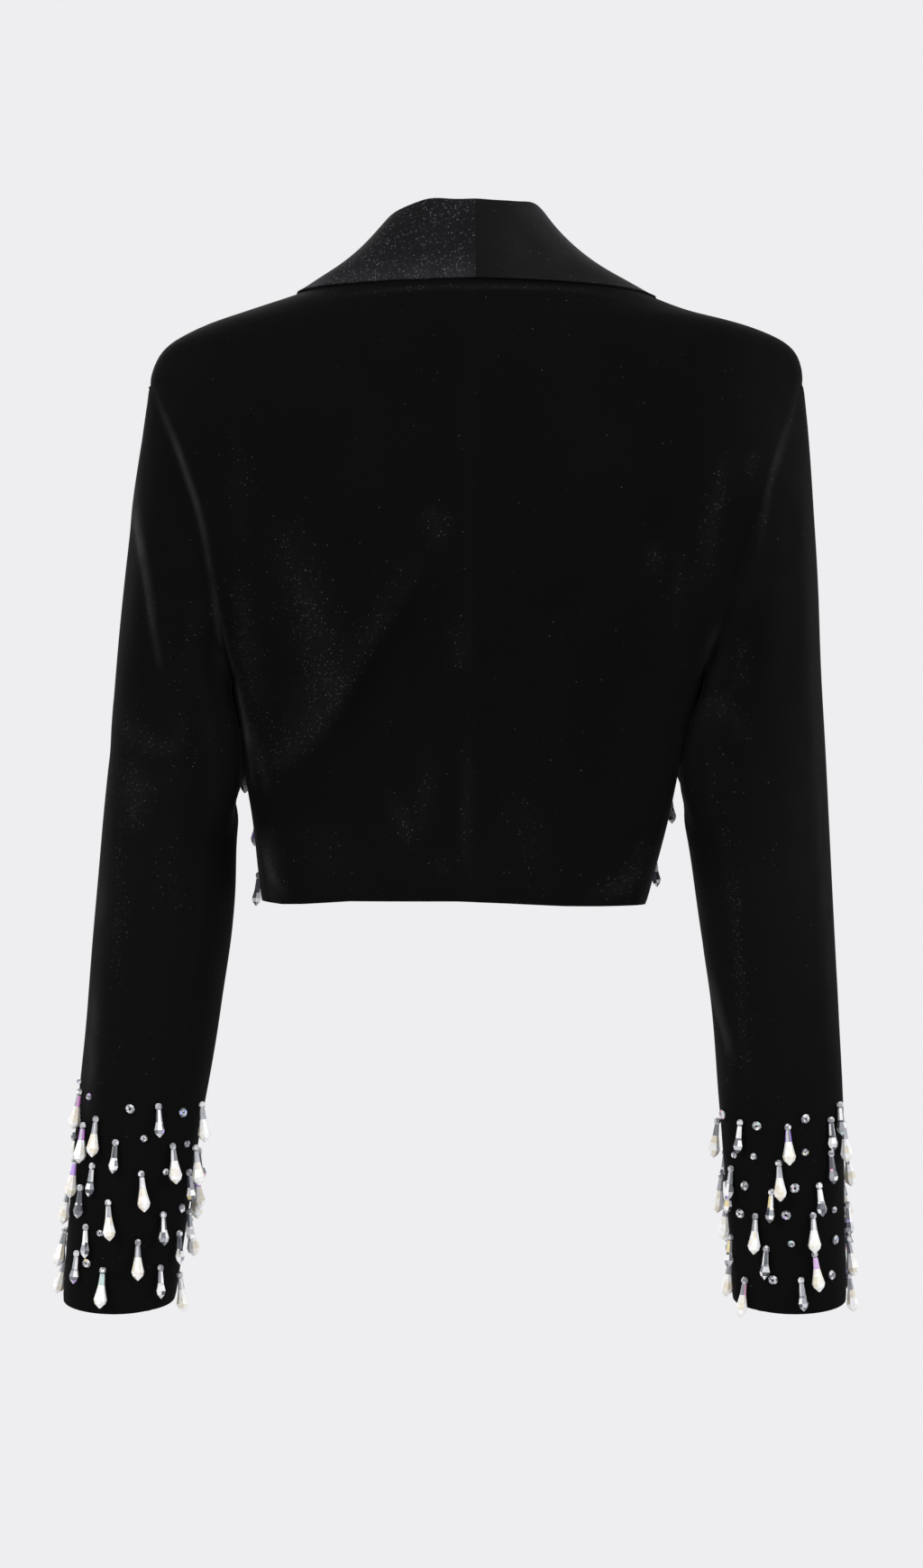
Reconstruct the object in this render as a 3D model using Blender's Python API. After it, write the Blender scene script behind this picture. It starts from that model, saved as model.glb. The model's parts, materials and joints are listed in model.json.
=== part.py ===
"""Cropped velvet evening jacket with a shawl collar and long two-piece sleeves.

The jacket keeps the hollow form in which it is worn. Sizes are in millimetres and
are turned to metres when a mesh is made. +X is the wearer's left, +Y the back and
+Z up. The origin is the centre of the neck base, where the wearer carries it.
"""
import math
from collections import namedtuple

import bmesh
import bpy
import numpy as np

# Driving dimensions
MM = 0.001
CLOTH = 1.6
COLLAR_CLOTH = 2.0
SEAM_GAP = 0.3
ARMHOLE_GAP = 0.4

NECK_Z = 8.0
ARMHOLE_TOP_Z = -72.0
ARMHOLE_BOTTOM_Z = -262.0
ARMHOLE_BACK_DEPTH = 60.0
ARMHOLE_FRONT_DEPTH = 62.0
HEM_Z = -397.0
SIDE_SEAM_TURN_AT_HEM = math.radians(20.0)
BREAK_Z = -290.0
CAP_END_Z = -300.0

ROLL_RADIUS = 3.2
COLLAR_EDGE_LIFT = 1.6

SHOULDER_STEPS = 9
ARMHOLE_STEPS = 9
SIDE_STEPS = 5
BACK_COLUMNS = 10
FRONT_COLUMNS = 9
CAP_STEPS = 7
CAP_CROWDING = 1.25
CAP_SWELL = 0.3
NORMAL_SMOOTHING = 6
SLEEVE_STEPS = 12
HIND_SEAM_STEP = 6
ROLL_STEPS = 3
FALL_STEPS = 5
FINE_STEPS = 100
PROBE_TURN = 0.01
PROBE_RISE = 0.5
ARRIVAL_DROP = 20.0

SHARP_ANGLE = math.radians(50.0)
VELVET_ROUGHNESS = 0.9
VELVET_SHEEN = 0.4
VELVET_COLOUR = (0.006, 0.006, 0.008, 1.0)
COLLAR_COLOUR = (0.008, 0.008, 0.011, 1.0)

# Level sections of the body: half widths of each side, depths, and how square they are
BodySection = namedtuple("BodySection", "z left right back front back_square front_square")
BODY = (
    BodySection(8, 63, 63, 47, 34, 2.0, 2.0),
    BodySection(-4, 82, 82, 56, 43, 2.0, 2.0),
    BodySection(-15, 107, 108, 64, 51, 2.05, 2.0),
    BodySection(-27, 142, 139, 71, 57, 2.1, 2.05),
    BodySection(-40, 176, 186, 77, 62, 2.2, 2.1),
    BodySection(-54, 195.5, 207, 82, 68, 2.3, 2.1),
    BodySection(-72, 202, 210.5, 87, 75, 2.35, 2.15),
    BodySection(-110, 200, 210, 94, 88, 2.45, 2.2),
    BodySection(-150, 193, 206, 98, 100, 2.5, 2.25),
    BodySection(-200, 178, 185, 98, 112, 2.5, 2.3),
    BodySection(-225, 165.5, 167.5, 96.5, 115, 2.5, 2.3),
    BodySection(-245, 156, 154.5, 94.5, 116, 2.5, 2.3),
    BodySection(-262, 149.8, 146, 92, 115, 2.45, 2.3),
    BodySection(-280, 146.8, 140.5, 89, 112.5, 2.45, 2.3),
    BodySection(-300, 144.3, 135, 86, 109, 2.4, 2.25),
    BodySection(-322, 141.8, 131.3, 83, 105, 2.35, 2.2),
    BodySection(-342, 138, 127, 80, 101, 2.3, 2.2),
    BodySection(-397, 131.5, 111.5, 78, 96, 2.2, 2.2),
)

# Inner border of a front: the roll line down to the break, then the front edge
FrontBorder = namedtuple("FrontBorder", "z x")
FRONT_BORDER = (
    FrontBorder(8, 61),
    FrontBorder(0, 56.5),
    FrontBorder(-10, 52.5),
    FrontBorder(-27, 49.5),
    FrontBorder(-54, 45),
    FrontBorder(-110, 37),
    FrontBorder(-200, 23),
    FrontBorder(-290, 8.5),
    FrontBorder(-330, 6),
    FrontBorder(-397, 6),
)

# Level rings of the sleeves below the cap; tilt lowers the back of a ring per mm of depth
SleeveRing = namedtuple(
    "SleeveRing", "z left_in left_out right_in right_out centre_y half_depth tilt"
)
SLEEVE = (
    SleeveRing(-300, 145.4, 226.7, 135.9, 223.3, -2, 58, 0.0),
    SleeveRing(-322, 143.6, 228.8, 132.6, 224.6, -2, 57, 0.0),
    SleeveRing(-342, 147.0, 231.0, 135.4, 225.7, -3, 55, 0.0),
    SleeveRing(-402, 150.8, 237.0, 144.5, 228.5, -6, 50, 0.02),
    SleeveRing(-462, 159.5, 242.5, 153.3, 232.8, -14, 47, 0.05),
    SleeveRing(-524, 168.7, 249.5, 159.0, 237.0, -24, 45, 0.09),
    SleeveRing(-605, 181.0, 256.8, 165.5, 240.0, -38, 42, 0.12),
    SleeveRing(-656, 189.3, 262.0, 169.5, 242.5, -48, 40, 0.14),
)

# Sections of a collar half, by the run of its neck seam from the centre back
CollarSection = namedtuple(
    "CollarSection",
    "run stand left_lean right_lean left_angle right_angle left_edge_z right_edge_z sag hug",
)
COLLAR = (
    CollarSection(0, 28, 10, 10, 90, 90, -13.5, -13.5, 0, 0.0),
    CollarSection(45, 26, 20, 26, 47, 47, -15, -15.3, 2, 0.0),
    CollarSection(92, 20, 33, 42, 3, 3, -15.5, -18.5, 4.5, 0.0),
    CollarSection(119, 14, 33, 36, -18.5, -18.5, -18.7, -21.7, 0, 0.25),
    CollarSection(134, 9, 30, 32, -31.7, -30, -24.5, -27, 0, 0.5),
    CollarSection(151, 5, 30, 30, -45.6, -46.9, -36.5, -37, 0, 0.8),
    CollarSection(166, 3, 30, 30, -52.3, -54.1, -54, -54, 0, 1.0),
    CollarSection(188, 1.8, 30, 30, -54.5, -55.8, -86, -86, 0, 1.0),
    CollarSection(228, 1.2, 30, 30, -56.7, -58.5, -130, -130, 0, 1.0),
    CollarSection(288, 1.0, 30, 30, -62.2, -63.4, -178, -178, 0, 1.0),
    CollarSection(356, 1.0, 30, 30, -73, -72.7, -235, -235, 0, 1.0),
    CollarSection(400, 1.0, 30, 30, -83, -83, -272, -272, 0, 1.0),
    CollarSection(430, 1.0, 30, 30, -86.5, -86.5, -294, -294, 0, 1.0),
)

UP = np.array((0.0, 0.0, 1.0))


def unit(vectors):
    """Vectors scaled to length one."""
    return vectors / np.linalg.norm(vectors, axis=-1, keepdims=True)


def read(table, name, at):
    """A column's value at a place along the table's first column, without overshoot."""
    keys = np.array([row[0] for row in table], float)
    values = np.array([getattr(row, name) for row in table], float)
    order = np.argsort(keys)
    keys = keys[order]
    values = values[order]
    steps = np.diff(keys)
    slopes = np.diff(values) / steps
    tangents = np.concatenate((slopes[:1], np.zeros(len(slopes) - 1), slopes[-1:]))
    for i in range(1, len(slopes)):
        if slopes[i - 1] * slopes[i] > 0:
            tangents[i] = 2 * slopes[i - 1] * slopes[i] / (slopes[i - 1] + slopes[i])
    i = int(np.clip(np.searchsorted(keys, at) - 1, 0, len(steps) - 1))
    t = (at - keys[i]) / steps[i]
    ends = (1 + 2 * t) * (1 - t) ** 2 * values[i] + t * t * (3 - 2 * t) * values[i + 1]
    bends = t * (1 - t) ** 2 * tangents[i] + t * t * (t - 1) * tangents[i + 1]
    return ends + steps[i] * bends


def side_word(side):
    """The name of a side of the wearer: +1 is the left."""
    return "left" if side > 0 else "right"


def body_measures(side, face, z):
    """Half width, depth and power of one quarter of a level section."""
    half_width = read(BODY, side_word(side), z)
    depth = read(BODY, face, z)
    power = 2 / read(BODY, face + "_square", z)
    return half_width, depth, power


def body_point(side, angle, z):
    """A point of the body: angle 90 degrees is the centre back, 0 the side, -90 the front."""
    face = "back" if angle >= 0 else "front"
    half_width, depth, power = body_measures(side, face, z)
    across = math.cos(angle)
    along = math.sin(angle)
    x = side * half_width * math.copysign(abs(across) ** power, across)
    y = depth * math.copysign(abs(along) ** power, along)
    return np.array((x, y, z))


def body_normal(side, angle, z):
    """The body's outward direction at a point."""
    turn = body_point(side, angle + PROBE_TURN, z) - body_point(side, angle - PROBE_TURN, z)
    rise = body_point(side, angle, z + PROBE_RISE) - body_point(side, angle, z - PROBE_RISE)
    return unit(np.cross(turn, rise)) * side


def angle_at_depth(side, face, y, z):
    """The angle at which a level section reaches a depth."""
    depth, power = body_measures(side, face, z)[1:]
    angle = math.asin(min(1.0, abs(y) / depth) ** (1 / power))
    return angle if face == "back" else -angle


def front_border_angle(side, z):
    """The angle of a front's inner border at a level."""
    half_width, _, power = body_measures(side, "front", z)
    return -math.acos(min(1.0, read(FRONT_BORDER, "x", z) / half_width) ** (1 / power))


def ridge_levels():
    """Levels from the neck to the top of the armhole, evenly spaced along the shoulder."""
    fine = np.linspace(NECK_Z, ARMHOLE_TOP_Z, FINE_STEPS)
    ridge = np.array([body_point(1, 0.0, z) for z in fine])
    run = np.concatenate(([0.0], np.cumsum(np.linalg.norm(np.diff(ridge, axis=0), axis=1))))
    return np.interp(np.linspace(0, run[-1], SHOULDER_STEPS + 1), run, fine)


def armhole_turns():
    """Turns round the armhole from its top to the underarm."""
    return np.linspace(0, math.pi, ARMHOLE_STEPS + 1)


def armhole_level(turn):
    """The level of an armhole point."""
    centre = (ARMHOLE_TOP_Z + ARMHOLE_BOTTOM_Z) / 2
    return centre + (ARMHOLE_TOP_Z - ARMHOLE_BOTTOM_Z) / 2 * math.cos(turn)


def armhole_angle(side, face, turn):
    """The body angle of an armhole point: the armhole is oval seen from the side."""
    reach = ARMHOLE_BACK_DEPTH if face == "back" else ARMHOLE_FRONT_DEPTH
    return angle_at_depth(side, face, reach * math.sin(turn), armhole_level(turn))


def outer_border_angle(side, face, z):
    """The body angle of a panel's shoulder, armhole or side seam at a level."""
    if z >= ARMHOLE_TOP_Z:
        return 0.0
    if z > ARMHOLE_BOTTOM_Z:
        half = (ARMHOLE_TOP_Z - ARMHOLE_BOTTOM_Z) / 2
        turn = math.acos((z - (ARMHOLE_TOP_Z + ARMHOLE_BOTTOM_Z) / 2) / half)
        return armhole_angle(side, face, turn)
    return SIDE_SEAM_TURN_AT_HEM * (z - ARMHOLE_BOTTOM_Z) / (HEM_Z - ARMHOLE_BOTTOM_Z)


def panel_levels():
    """Levels of a panel's rows, from the neck to the hem."""
    armhole = [armhole_level(turn) for turn in armhole_turns()[1:]]
    side_levels = np.linspace(ARMHOLE_BOTTOM_Z, HEM_Z, SIDE_STEPS + 1)[1:]
    return [*ridge_levels(), *armhole, *side_levels]


def spaced_angles(side, z, start, stop, columns, trims):
    """Angles of evenly spaced points along a level, trimmed back at its two ends."""
    fine = np.linspace(start, stop, FINE_STEPS)
    points = np.array([body_point(side, angle, z) for angle in fine])
    run = np.concatenate(([0.0], np.cumsum(np.linalg.norm(np.diff(points, axis=0), axis=1))))
    stations = np.linspace(trims[0], run[-1] - trims[1], columns + 1)
    return np.interp(stations, run, fine)


def outer_trim(z):
    """Seam allowance of a panel's outer border: the sleeve keeps the armhole's gap itself."""
    at_armhole = ARMHOLE_BOTTOM_Z < z < ARMHOLE_TOP_Z
    return 0.0 if at_armhole else SEAM_GAP / 2


def back_angles(side, z):
    """Angles of a back panel's points at a level, from the centre-back seam outwards."""
    stop = outer_border_angle(side, "back", z)
    trims = (SEAM_GAP / 2, outer_trim(z))
    return spaced_angles(side, z, math.pi / 2, stop, BACK_COLUMNS, trims)


def front_angles(side, z):
    """Angles of a front panel's points at a level, from its outer to its inner border."""
    start = outer_border_angle(side, "front", z)
    stop = front_border_angle(side, z)
    return spaced_angles(side, z, start, stop, FRONT_COLUMNS, (outer_trim(z), 0.0))


def panel(side, angles_at):
    """Points and outward directions of a body panel, a row for each level."""
    rows = [[(angle, z) for angle in angles_at(side, z)] for z in panel_levels()]
    points = np.array([[body_point(side, *place) for place in row] for row in rows])
    normals = np.array([[body_normal(side, *place) for place in row] for row in rows])
    return points, normals


def grid_normals(points, cyclic):
    """Directions square to a grid of points, from the unit steps on both sides of each."""
    along = unit(np.diff(points, axis=0))
    along = np.concatenate((along[:1], along[:-1] + along[1:], along[-1:]))
    if cyclic:
        ahead = unit(np.roll(points, -1, axis=1) - points)
        across = ahead + np.roll(ahead, 1, axis=1)
    else:
        across = unit(np.diff(points, axis=1))
        across = np.concatenate(
            (across[:, :1], across[:, :-1] + across[:, 1:], across[:, -1:]), axis=1
        )
    return unit(np.cross(across, along))


def armhole_loop(side):
    """Armhole points: from the top down the back to the underarm and up the front."""
    turns = armhole_turns()
    back = [body_point(side, armhole_angle(side, "back", t), armhole_level(t)) for t in turns]
    front = [body_point(side, armhole_angle(side, "front", t), armhole_level(t)) for t in turns]
    return np.array(back + front[-2:0:-1])


def loop_turns(loop):
    """Turns of a sleeve's lengthwise lines, by their share of each half of the armhole."""
    steps = np.linalg.norm(np.roll(loop, -1, axis=0) - loop, axis=1)
    back = np.cumsum(steps[:ARMHOLE_STEPS]) / np.sum(steps[:ARMHOLE_STEPS])
    front = np.cumsum(steps[ARMHOLE_STEPS:]) / np.sum(steps[ARMHOLE_STEPS:])
    return math.pi * np.concatenate(([0.0], back, 1 + front[:-1]))


def ring_point(side, turn, z):
    """A point of the sleeve below its cap: turn 0 is its outer side, 90 degrees its back."""
    word = side_word(side)
    inner = read(SLEEVE, word + "_in", z)
    outer = read(SLEEVE, word + "_out", z)
    half_depth = read(SLEEVE, "half_depth", z)
    x = side * ((inner + outer) / 2 + (outer - inner) / 2 * math.cos(turn))
    y = read(SLEEVE, "centre_y", z) + half_depth * math.sin(turn)
    return np.array((x, y, z - read(SLEEVE, "tilt", z) * half_depth * math.sin(turn)))


def cap_start_direction(side, turn):
    """How the cap leaves the armhole: mostly down, and most outwards at back and front."""
    top_share = (1 + math.cos(turn)) / 2
    out = 0.55 - 0.45 * top_share + CAP_SWELL * math.sin(turn) ** 2
    down = 0.85 + 0.15 * top_share - CAP_SWELL * math.sin(turn) ** 2
    return unit(np.array((side * out, 0.0, -down)))


def cap_line(side, start, turn):
    """Points of a lengthwise line of the cap, on a smooth curve from armhole to ring."""
    end = ring_point(side, turn, CAP_END_Z)
    reach = np.linalg.norm(end - start)
    leave = cap_start_direction(side, turn) * reach
    arrive = unit(ring_point(side, turn, CAP_END_Z - ARRIVAL_DROP) - end) * reach
    points = []
    for t in np.linspace(0, 1, CAP_STEPS + 1)[:-1] ** CAP_CROWDING:
        ends = (1 + 2 * t) * (1 - t) ** 2 * start + t * t * (3 - 2 * t) * end
        points.append(ends + t * (1 - t) ** 2 * leave + t * t * (t - 1) * arrive)
    return points


def sleeve(side):
    """Points and outward directions of a whole sleeve, a column for each lengthwise line."""
    loop = armhole_loop(side)
    turns = loop_turns(loop)
    levels = np.linspace(CAP_END_Z, SLEEVE[-1].z, SLEEVE_STEPS + 1)
    lines = []
    for point, turn in zip(loop, turns):
        start = point + cap_start_direction(side, turn) * ARMHOLE_GAP
        lines.append(cap_line(side, start, turn) + [ring_point(side, turn, z) for z in levels])
    points = np.array(lines).transpose(1, 0, 2)
    normals = -side * grid_normals(points, cyclic=True)
    for _ in range(NORMAL_SMOOTHING):
        inside = normals[:-2] + 2 * normals[1:-1] + normals[2:]
        normals = unit(np.concatenate((normals[:1] + normals[1:2], inside, normals[-1:])))
    return points, normals


def sleeve_piece(points, normals, first, last):
    """The columns of a sleeve between two seams, trimmed back at each."""
    columns = np.arange(first, last + 1) % points.shape[1]
    piece = points[:, columns].copy()
    piece[:, 0] += unit(piece[:, 1] - piece[:, 0]) * SEAM_GAP / 2
    piece[:, -1] += unit(piece[:, -2] - piece[:, -1]) * SEAM_GAP / 2
    return piece, normals[:, columns]


def neck_seam(side):
    """Places (angle, level) along the neck seam: back neck, then the roll line to the break."""
    places = [(angle, NECK_Z) for angle in back_angles(side, NECK_Z)]
    levels = [z for z in panel_levels() if z >= BREAK_Z]
    return places + [(front_border_angle(side, z), z) for z in levels]


def collar_frame(side, place, seam_way, lean, hug):
    """The rising direction of the collar at a seam point and the direction out of it."""
    normal = body_normal(side, *place)
    level_out = unit(normal * (1, 1, 0))
    neck_rise = UP * math.cos(lean) - level_out * math.sin(lean)
    front_rise = unit(np.cross(normal, seam_way))
    front_rise *= -side * np.sign(front_rise[0])
    rise = (1 - hug) * neck_rise + hug * front_rise
    rise = unit(rise - seam_way * np.dot(rise, seam_way))
    out = unit(np.cross(seam_way, rise))
    return rise, out * np.sign(np.dot(out, normal))


def collar_section(side, place, run, seam_way):
    """Points of the collar's face: up the stand, over the roll and down the fall."""
    size = {name: read(COLLAR, name, run) for name in CollarSection._fields[1:]}
    word = side_word(side)
    lean = math.radians(size[word + "_lean"])
    rise, out = collar_frame(side, place, seam_way, lean, size["hug"])
    foot = body_point(side, *place) + rise * SEAM_GAP - out * COLLAR_CLOTH
    centre = foot + rise * size["stand"] + out * ROLL_RADIUS
    points = [foot]
    for bend in np.linspace(0, math.pi, ROLL_STEPS + 1):
        points.append(centre + ROLL_RADIUS * (math.sin(bend) * rise - math.cos(bend) * out))
    edge_place = np.array((math.radians(size[word + "_angle"]), size[word + "_edge_z"]))
    edge_lift = COLLAR_CLOTH + COLLAR_EDGE_LIFT
    edge_normal = body_normal(side, *edge_place)
    edge = body_point(side, *edge_place) + edge_normal * edge_lift
    roll_lift = 2 * ROLL_RADIUS - COLLAR_CLOTH
    sag_way = unit(out + edge_normal)
    for share in np.linspace(0, 1, FALL_STEPS + 1)[1:]:
        free = (1 - share) * points[ROLL_STEPS + 1] + share * edge
        free = free - sag_way * size["sag"] * math.sin(math.pi * share)
        below = (1 - share) * np.array(place) + share * edge_place
        lift = (1 - share) * roll_lift + share * edge_lift
        lying = body_point(side, *below) + body_normal(side, *below) * lift
        lying = lying + rise * (SEAM_GAP + size["stand"]) * (1 - share)
        points.append((1 - size["hug"]) * free + size["hug"] * lying)
    return points


def collar(side):
    """Points and outward directions of a collar half, a row for each seam point."""
    places = neck_seam(side)
    seam = np.array([body_point(side, *place) for place in places])
    steps = np.diff(seam, axis=0)
    runs = np.concatenate(([0.0], np.cumsum(np.linalg.norm(steps, axis=1))))
    ways = unit(steps)
    ways = unit(np.concatenate((ways[:1], ways[:-1] + ways[1:], ways[-1:])))
    ways[0] = (side, 0.0, 0.0)
    sections = zip(places, runs, ways)
    points = np.array([collar_section(side, *section) for section in sections])
    points[0, :, 0] = side * SEAM_GAP / 2
    normals = -side * grid_normals(points, cyclic=False)
    normals[0, :, 0] = 0.0
    return points, unit(normals)


def velvet(name, colour):
    """A matt cloth material."""
    material = bpy.data.materials.new(name)
    material.use_nodes = True
    shader = material.node_tree.nodes["Principled BSDF"]
    shader.inputs["Base Color"].default_value = colour
    shader.inputs["Roughness"].default_value = VELVET_ROUGHNESS
    shader.inputs["Metallic"].default_value = 0.0
    shader.inputs["Sheen Weight"].default_value = VELVET_SHEEN
    material.diffuse_color = colour
    return material


def cloth_wall(name, points, normals, thickness, colour, collection, parent):
    """A wall of cloth whose outer face is a grid of points."""
    rows, columns = points.shape[:2]
    inner = (points - normals * thickness).reshape(-1, 3) * MM
    outer = points.reshape(-1, 3) * MM
    wall = bmesh.new()
    bmesh.ops.create_grid(wall, x_segments=columns - 1, y_segments=rows - 1, size=1.0)
    place = wall.verts.layers.int.new("place")
    for number, vertex in enumerate(sorted(wall.verts, key=lambda v: (round(v.co.y, 4), v.co.x))):
        vertex[place] = number
    raised = bmesh.ops.extrude_face_region(wall, geom=wall.faces[:])["geom"]
    for vertex in wall.verts:
        vertex.co = outer[vertex[place]]
    for vertex in [item for item in raised if isinstance(item, bmesh.types.BMVert)]:
        vertex.co = inner[vertex[place]]
    bmesh.ops.recalc_face_normals(wall, faces=wall.faces)
    mesh = bpy.data.meshes.new(name)
    wall.to_mesh(mesh)
    wall.free()
    mesh.shade_smooth()
    mesh.set_sharp_from_angle(angle=SHARP_ANGLE)
    mesh.materials.append(velvet(name + "_velvet", colour))
    piece = bpy.data.objects.new(name, mesh)
    piece.parent = parent
    collection.objects.link(piece)


def make_side(side, collection, parent):
    """All pieces of one side of the jacket."""
    word = side_word(side)
    whole_sleeve = sleeve(side)
    lines = 2 * ARMHOLE_STEPS
    front_seam = lines - HIND_SEAM_STEP
    upper = sleeve_piece(*whole_sleeve, front_seam, lines + HIND_SEAM_STEP)
    under = sleeve_piece(*whole_sleeve, HIND_SEAM_STEP, front_seam)
    pieces = (
        ("back", panel(side, back_angles)),
        ("front", panel(side, front_angles)),
        ("sleeve_upper", upper),
        ("sleeve_under", under),
    )
    for name, (points, normals) in pieces:
        full_name = f"{name}_{word}"
        cloth_wall(full_name, points, normals, CLOTH, VELVET_COLOUR, collection, parent)
    points, normals = collar(side)
    cloth_wall(
        f"collar_{word}", points, normals, COLLAR_CLOTH, COLLAR_COLOUR, collection, parent
    )


def main():
    for leftover in list(bpy.data.objects):
        bpy.data.objects.remove(leftover)
    collection = bpy.data.collections.new("embellished_blazer")
    bpy.context.scene.collection.children.link(collection)
    origin = bpy.data.objects.new("neck_base", None)
    collection.objects.link(origin)
    for side in (1, -1):
        make_side(side, collection, origin)


main()
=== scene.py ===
import json
import math
import random
from collections import Counter

import bpy
import numpy as np
from mathutils import Matrix, Vector, noise
from mathutils.bvhtree import BVHTree
from mathutils.kdtree import KDTree

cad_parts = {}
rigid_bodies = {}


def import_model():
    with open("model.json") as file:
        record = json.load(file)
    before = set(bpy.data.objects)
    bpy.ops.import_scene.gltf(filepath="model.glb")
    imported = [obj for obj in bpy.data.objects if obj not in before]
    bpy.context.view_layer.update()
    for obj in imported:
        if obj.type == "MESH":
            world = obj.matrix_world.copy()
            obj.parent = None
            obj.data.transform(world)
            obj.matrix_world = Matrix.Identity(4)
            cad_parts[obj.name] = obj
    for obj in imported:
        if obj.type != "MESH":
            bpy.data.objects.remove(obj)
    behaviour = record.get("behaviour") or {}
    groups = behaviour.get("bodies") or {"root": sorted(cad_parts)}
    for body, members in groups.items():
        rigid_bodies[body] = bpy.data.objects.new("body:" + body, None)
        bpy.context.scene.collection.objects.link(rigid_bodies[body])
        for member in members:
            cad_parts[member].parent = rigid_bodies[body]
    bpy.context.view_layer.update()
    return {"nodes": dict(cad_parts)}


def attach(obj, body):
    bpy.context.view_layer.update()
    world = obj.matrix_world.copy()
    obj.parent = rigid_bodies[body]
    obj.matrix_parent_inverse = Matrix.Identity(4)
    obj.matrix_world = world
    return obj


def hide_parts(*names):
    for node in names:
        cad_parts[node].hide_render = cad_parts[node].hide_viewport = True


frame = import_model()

mm = 0.001  # tables below are in millimetres unless a note says otherwise


# Small helpers

def ramp(values, start, end):  # 0 up to the start, 1 from the end on
    return np.clip((values - start) / (end - start), 0, 1)


def hump(off, span):  # 1 in the middle, fading softly over the span
    return np.exp(-(off / span) ** 2)


def setMode(mode):
    bpy.ops.object.mode_set(mode=mode)


def deselectAll():
    bpy.ops.object.select_all(action="DESELECT")


def choose(item):  # the only selected object, and the active one
    deselectAll()
    bpy.context.view_layer.objects.active = item
    item.select_set(True)


# Camera

view = {
    "imageSize": (1024, 1740),       # pixels
    "distance": 2.5,                 # metres from the middle of the jacket to the lens
    "metresPerPixel": 0.00057,       # at that distance
    "across": 0.00513,               # metres from the centre back towards the left sleeve
    "height": -0.3249,               # metres from the neck base down to the lens
    "sensorHigh": 36.0,
}
lensPlace = (view["across"], view["distance"], view["height"])


def photoPoint(px, py):  # where a photo pixel lies on the upright plane through the neck base
    wide, high = view["imageSize"]
    x = view["across"] - (px - wide / 2) * view["metresPerPixel"]
    z = view["height"] - (py - high / 2) * view["metresPerPixel"]
    return Vector((x, 0, z))


def setCamera():
    bpy.ops.object.camera_add(location=lensPlace, rotation=(math.pi / 2, 0, math.pi))
    camera = bpy.context.object
    fieldHigh = view["imageSize"][1] * view["metresPerPixel"]
    camera.data.sensor_fit = "VERTICAL"
    camera.data.sensor_height = view["sensorHigh"]
    camera.data.lens = view["sensorHigh"] * view["distance"] / fieldHigh
    bpy.context.scene.camera = camera
    print("camera set at", [round(c, 3) for c in lensPlace])


# Node helpers

def linear(hexText):  # sRGB hex to linear light
    channels = [int(hexText[i:i + 2], 16) / 255 for i in (1, 3, 5)]
    straight = [c / 12.92 if c <= 0.04045 else ((c + 0.055) / 1.055) ** 2.4 for c in channels]
    return tuple(straight) + (1.0,)


def addNode(tree, kind, output, settings):  # a setting that is another node's output is linked
    node = tree.nodes.new("ShaderNode" + kind)
    for key, value in settings.items():
        if isinstance(value, bpy.types.NodeSocket):
            tree.links.new(value, node.inputs[key])
        elif isinstance(key, int) or key in node.inputs:
            node.inputs[key].default_value = value
        else:
            setattr(node, key, value)
    return node.outputs[output]


def newMaterial(name, surface):
    material = bpy.data.materials.new(name)
    material.use_nodes = True
    shader = material.node_tree.nodes["Principled BSDF"]
    for socket, value in surface.items():
        shader.inputs[socket].default_value = value
    return material, material.node_tree, shader


# Studio

studio = {
    "backdrop": "#EEEEF0",
    "floor": "#D3D3D5",
    "floorMottle": "#CDCDCF",
    "mottle": 4,                # size of the paper's mottle
    "floorDrop": -1.15,         # metres below the neck base, out of the photo's frame
    "floorRadius": 1.45,        # metres
    "floorSides": 128,
    "paper": {"Roughness": 0.9, "Specular IOR Level": 0.1},
    "lights": {                 # place in metres, size in metres, watts, colour
        "keyLight": ((1.5, 2.1, 1.0), 1.2, 26, "#FFFDF8"),
        "fillLight": ((-1.9, 1.2, 0.5), 1.4, 12, "#F6F8FF"),
        "frontLight": ((0.6, -2.2, 0.9), 1.4, 22, "#FFFFFF"),
    },
    "aim": (0.0, 0.0, -0.30),
}


def setStudio():
    world = bpy.data.worlds.new("paleStudio")
    bpy.context.scene.world = world
    world.use_nodes = True
    world.node_tree.nodes["Background"].inputs["Color"].default_value = linear(studio["backdrop"])
    bpy.context.scene.view_settings.view_transform = "Standard"
    for name, (place, size, watts, colour) in studio["lights"].items():
        bpy.ops.object.light_add(type="AREA", location=place)
        lamp = bpy.context.object
        lamp.name = name
        lamp.data.shape = "DISK"
        lamp.data.size = size
        lamp.data.energy = watts
        lamp.data.color = linear(colour)[:3]
        aim = Vector(studio["aim"]) - Vector(place)
        lamp.rotation_euler = aim.to_track_quat("-Z", "Y").to_euler()
    deselectAll()
    bpy.ops.mesh.primitive_circle_add(vertices=studio["floorSides"], radius=studio["floorRadius"],
                                      fill_type="NGON", location=(0, 0, studio["floorDrop"]))
    floor = bpy.context.object
    floor.name = "studioFloor"
    bpy.ops.object.transform_apply()
    paper, tree, shader = newMaterial("pale matt paper", studio["paper"])
    grain = addNode(tree, "TexNoise", "Fac", {"Scale": 1 / (studio["mottle"] * mm), "Detail": 2.0})
    tint = addNode(tree, "Mix", 2, {"data_type": "RGBA", 0: grain, 6: linear(studio["floor"]),
                                    7: linear(studio["floorMottle"])})
    tree.links.new(tint, shader.inputs["Base Color"])
    floor.data.materials.append(paper)
    print("studio lit with", len(studio["lights"]), "soft lights")


# Velvet: cut silk pile, dyed black. The eye sees almost no light from the front and a pale rim where the
# pile is seen from its side.
# Lit folds, rims and highlight lines are painted lighter into its colour, shaded sides painted darker, and
# single bright tufts on folds are painted glints.

# deep is the pile's own tone; lit is the painted colour of lit pile and tuft that of painted glints;
# tuftsBare, tuftsMost and tuftsFull set how many painted glints show
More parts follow.
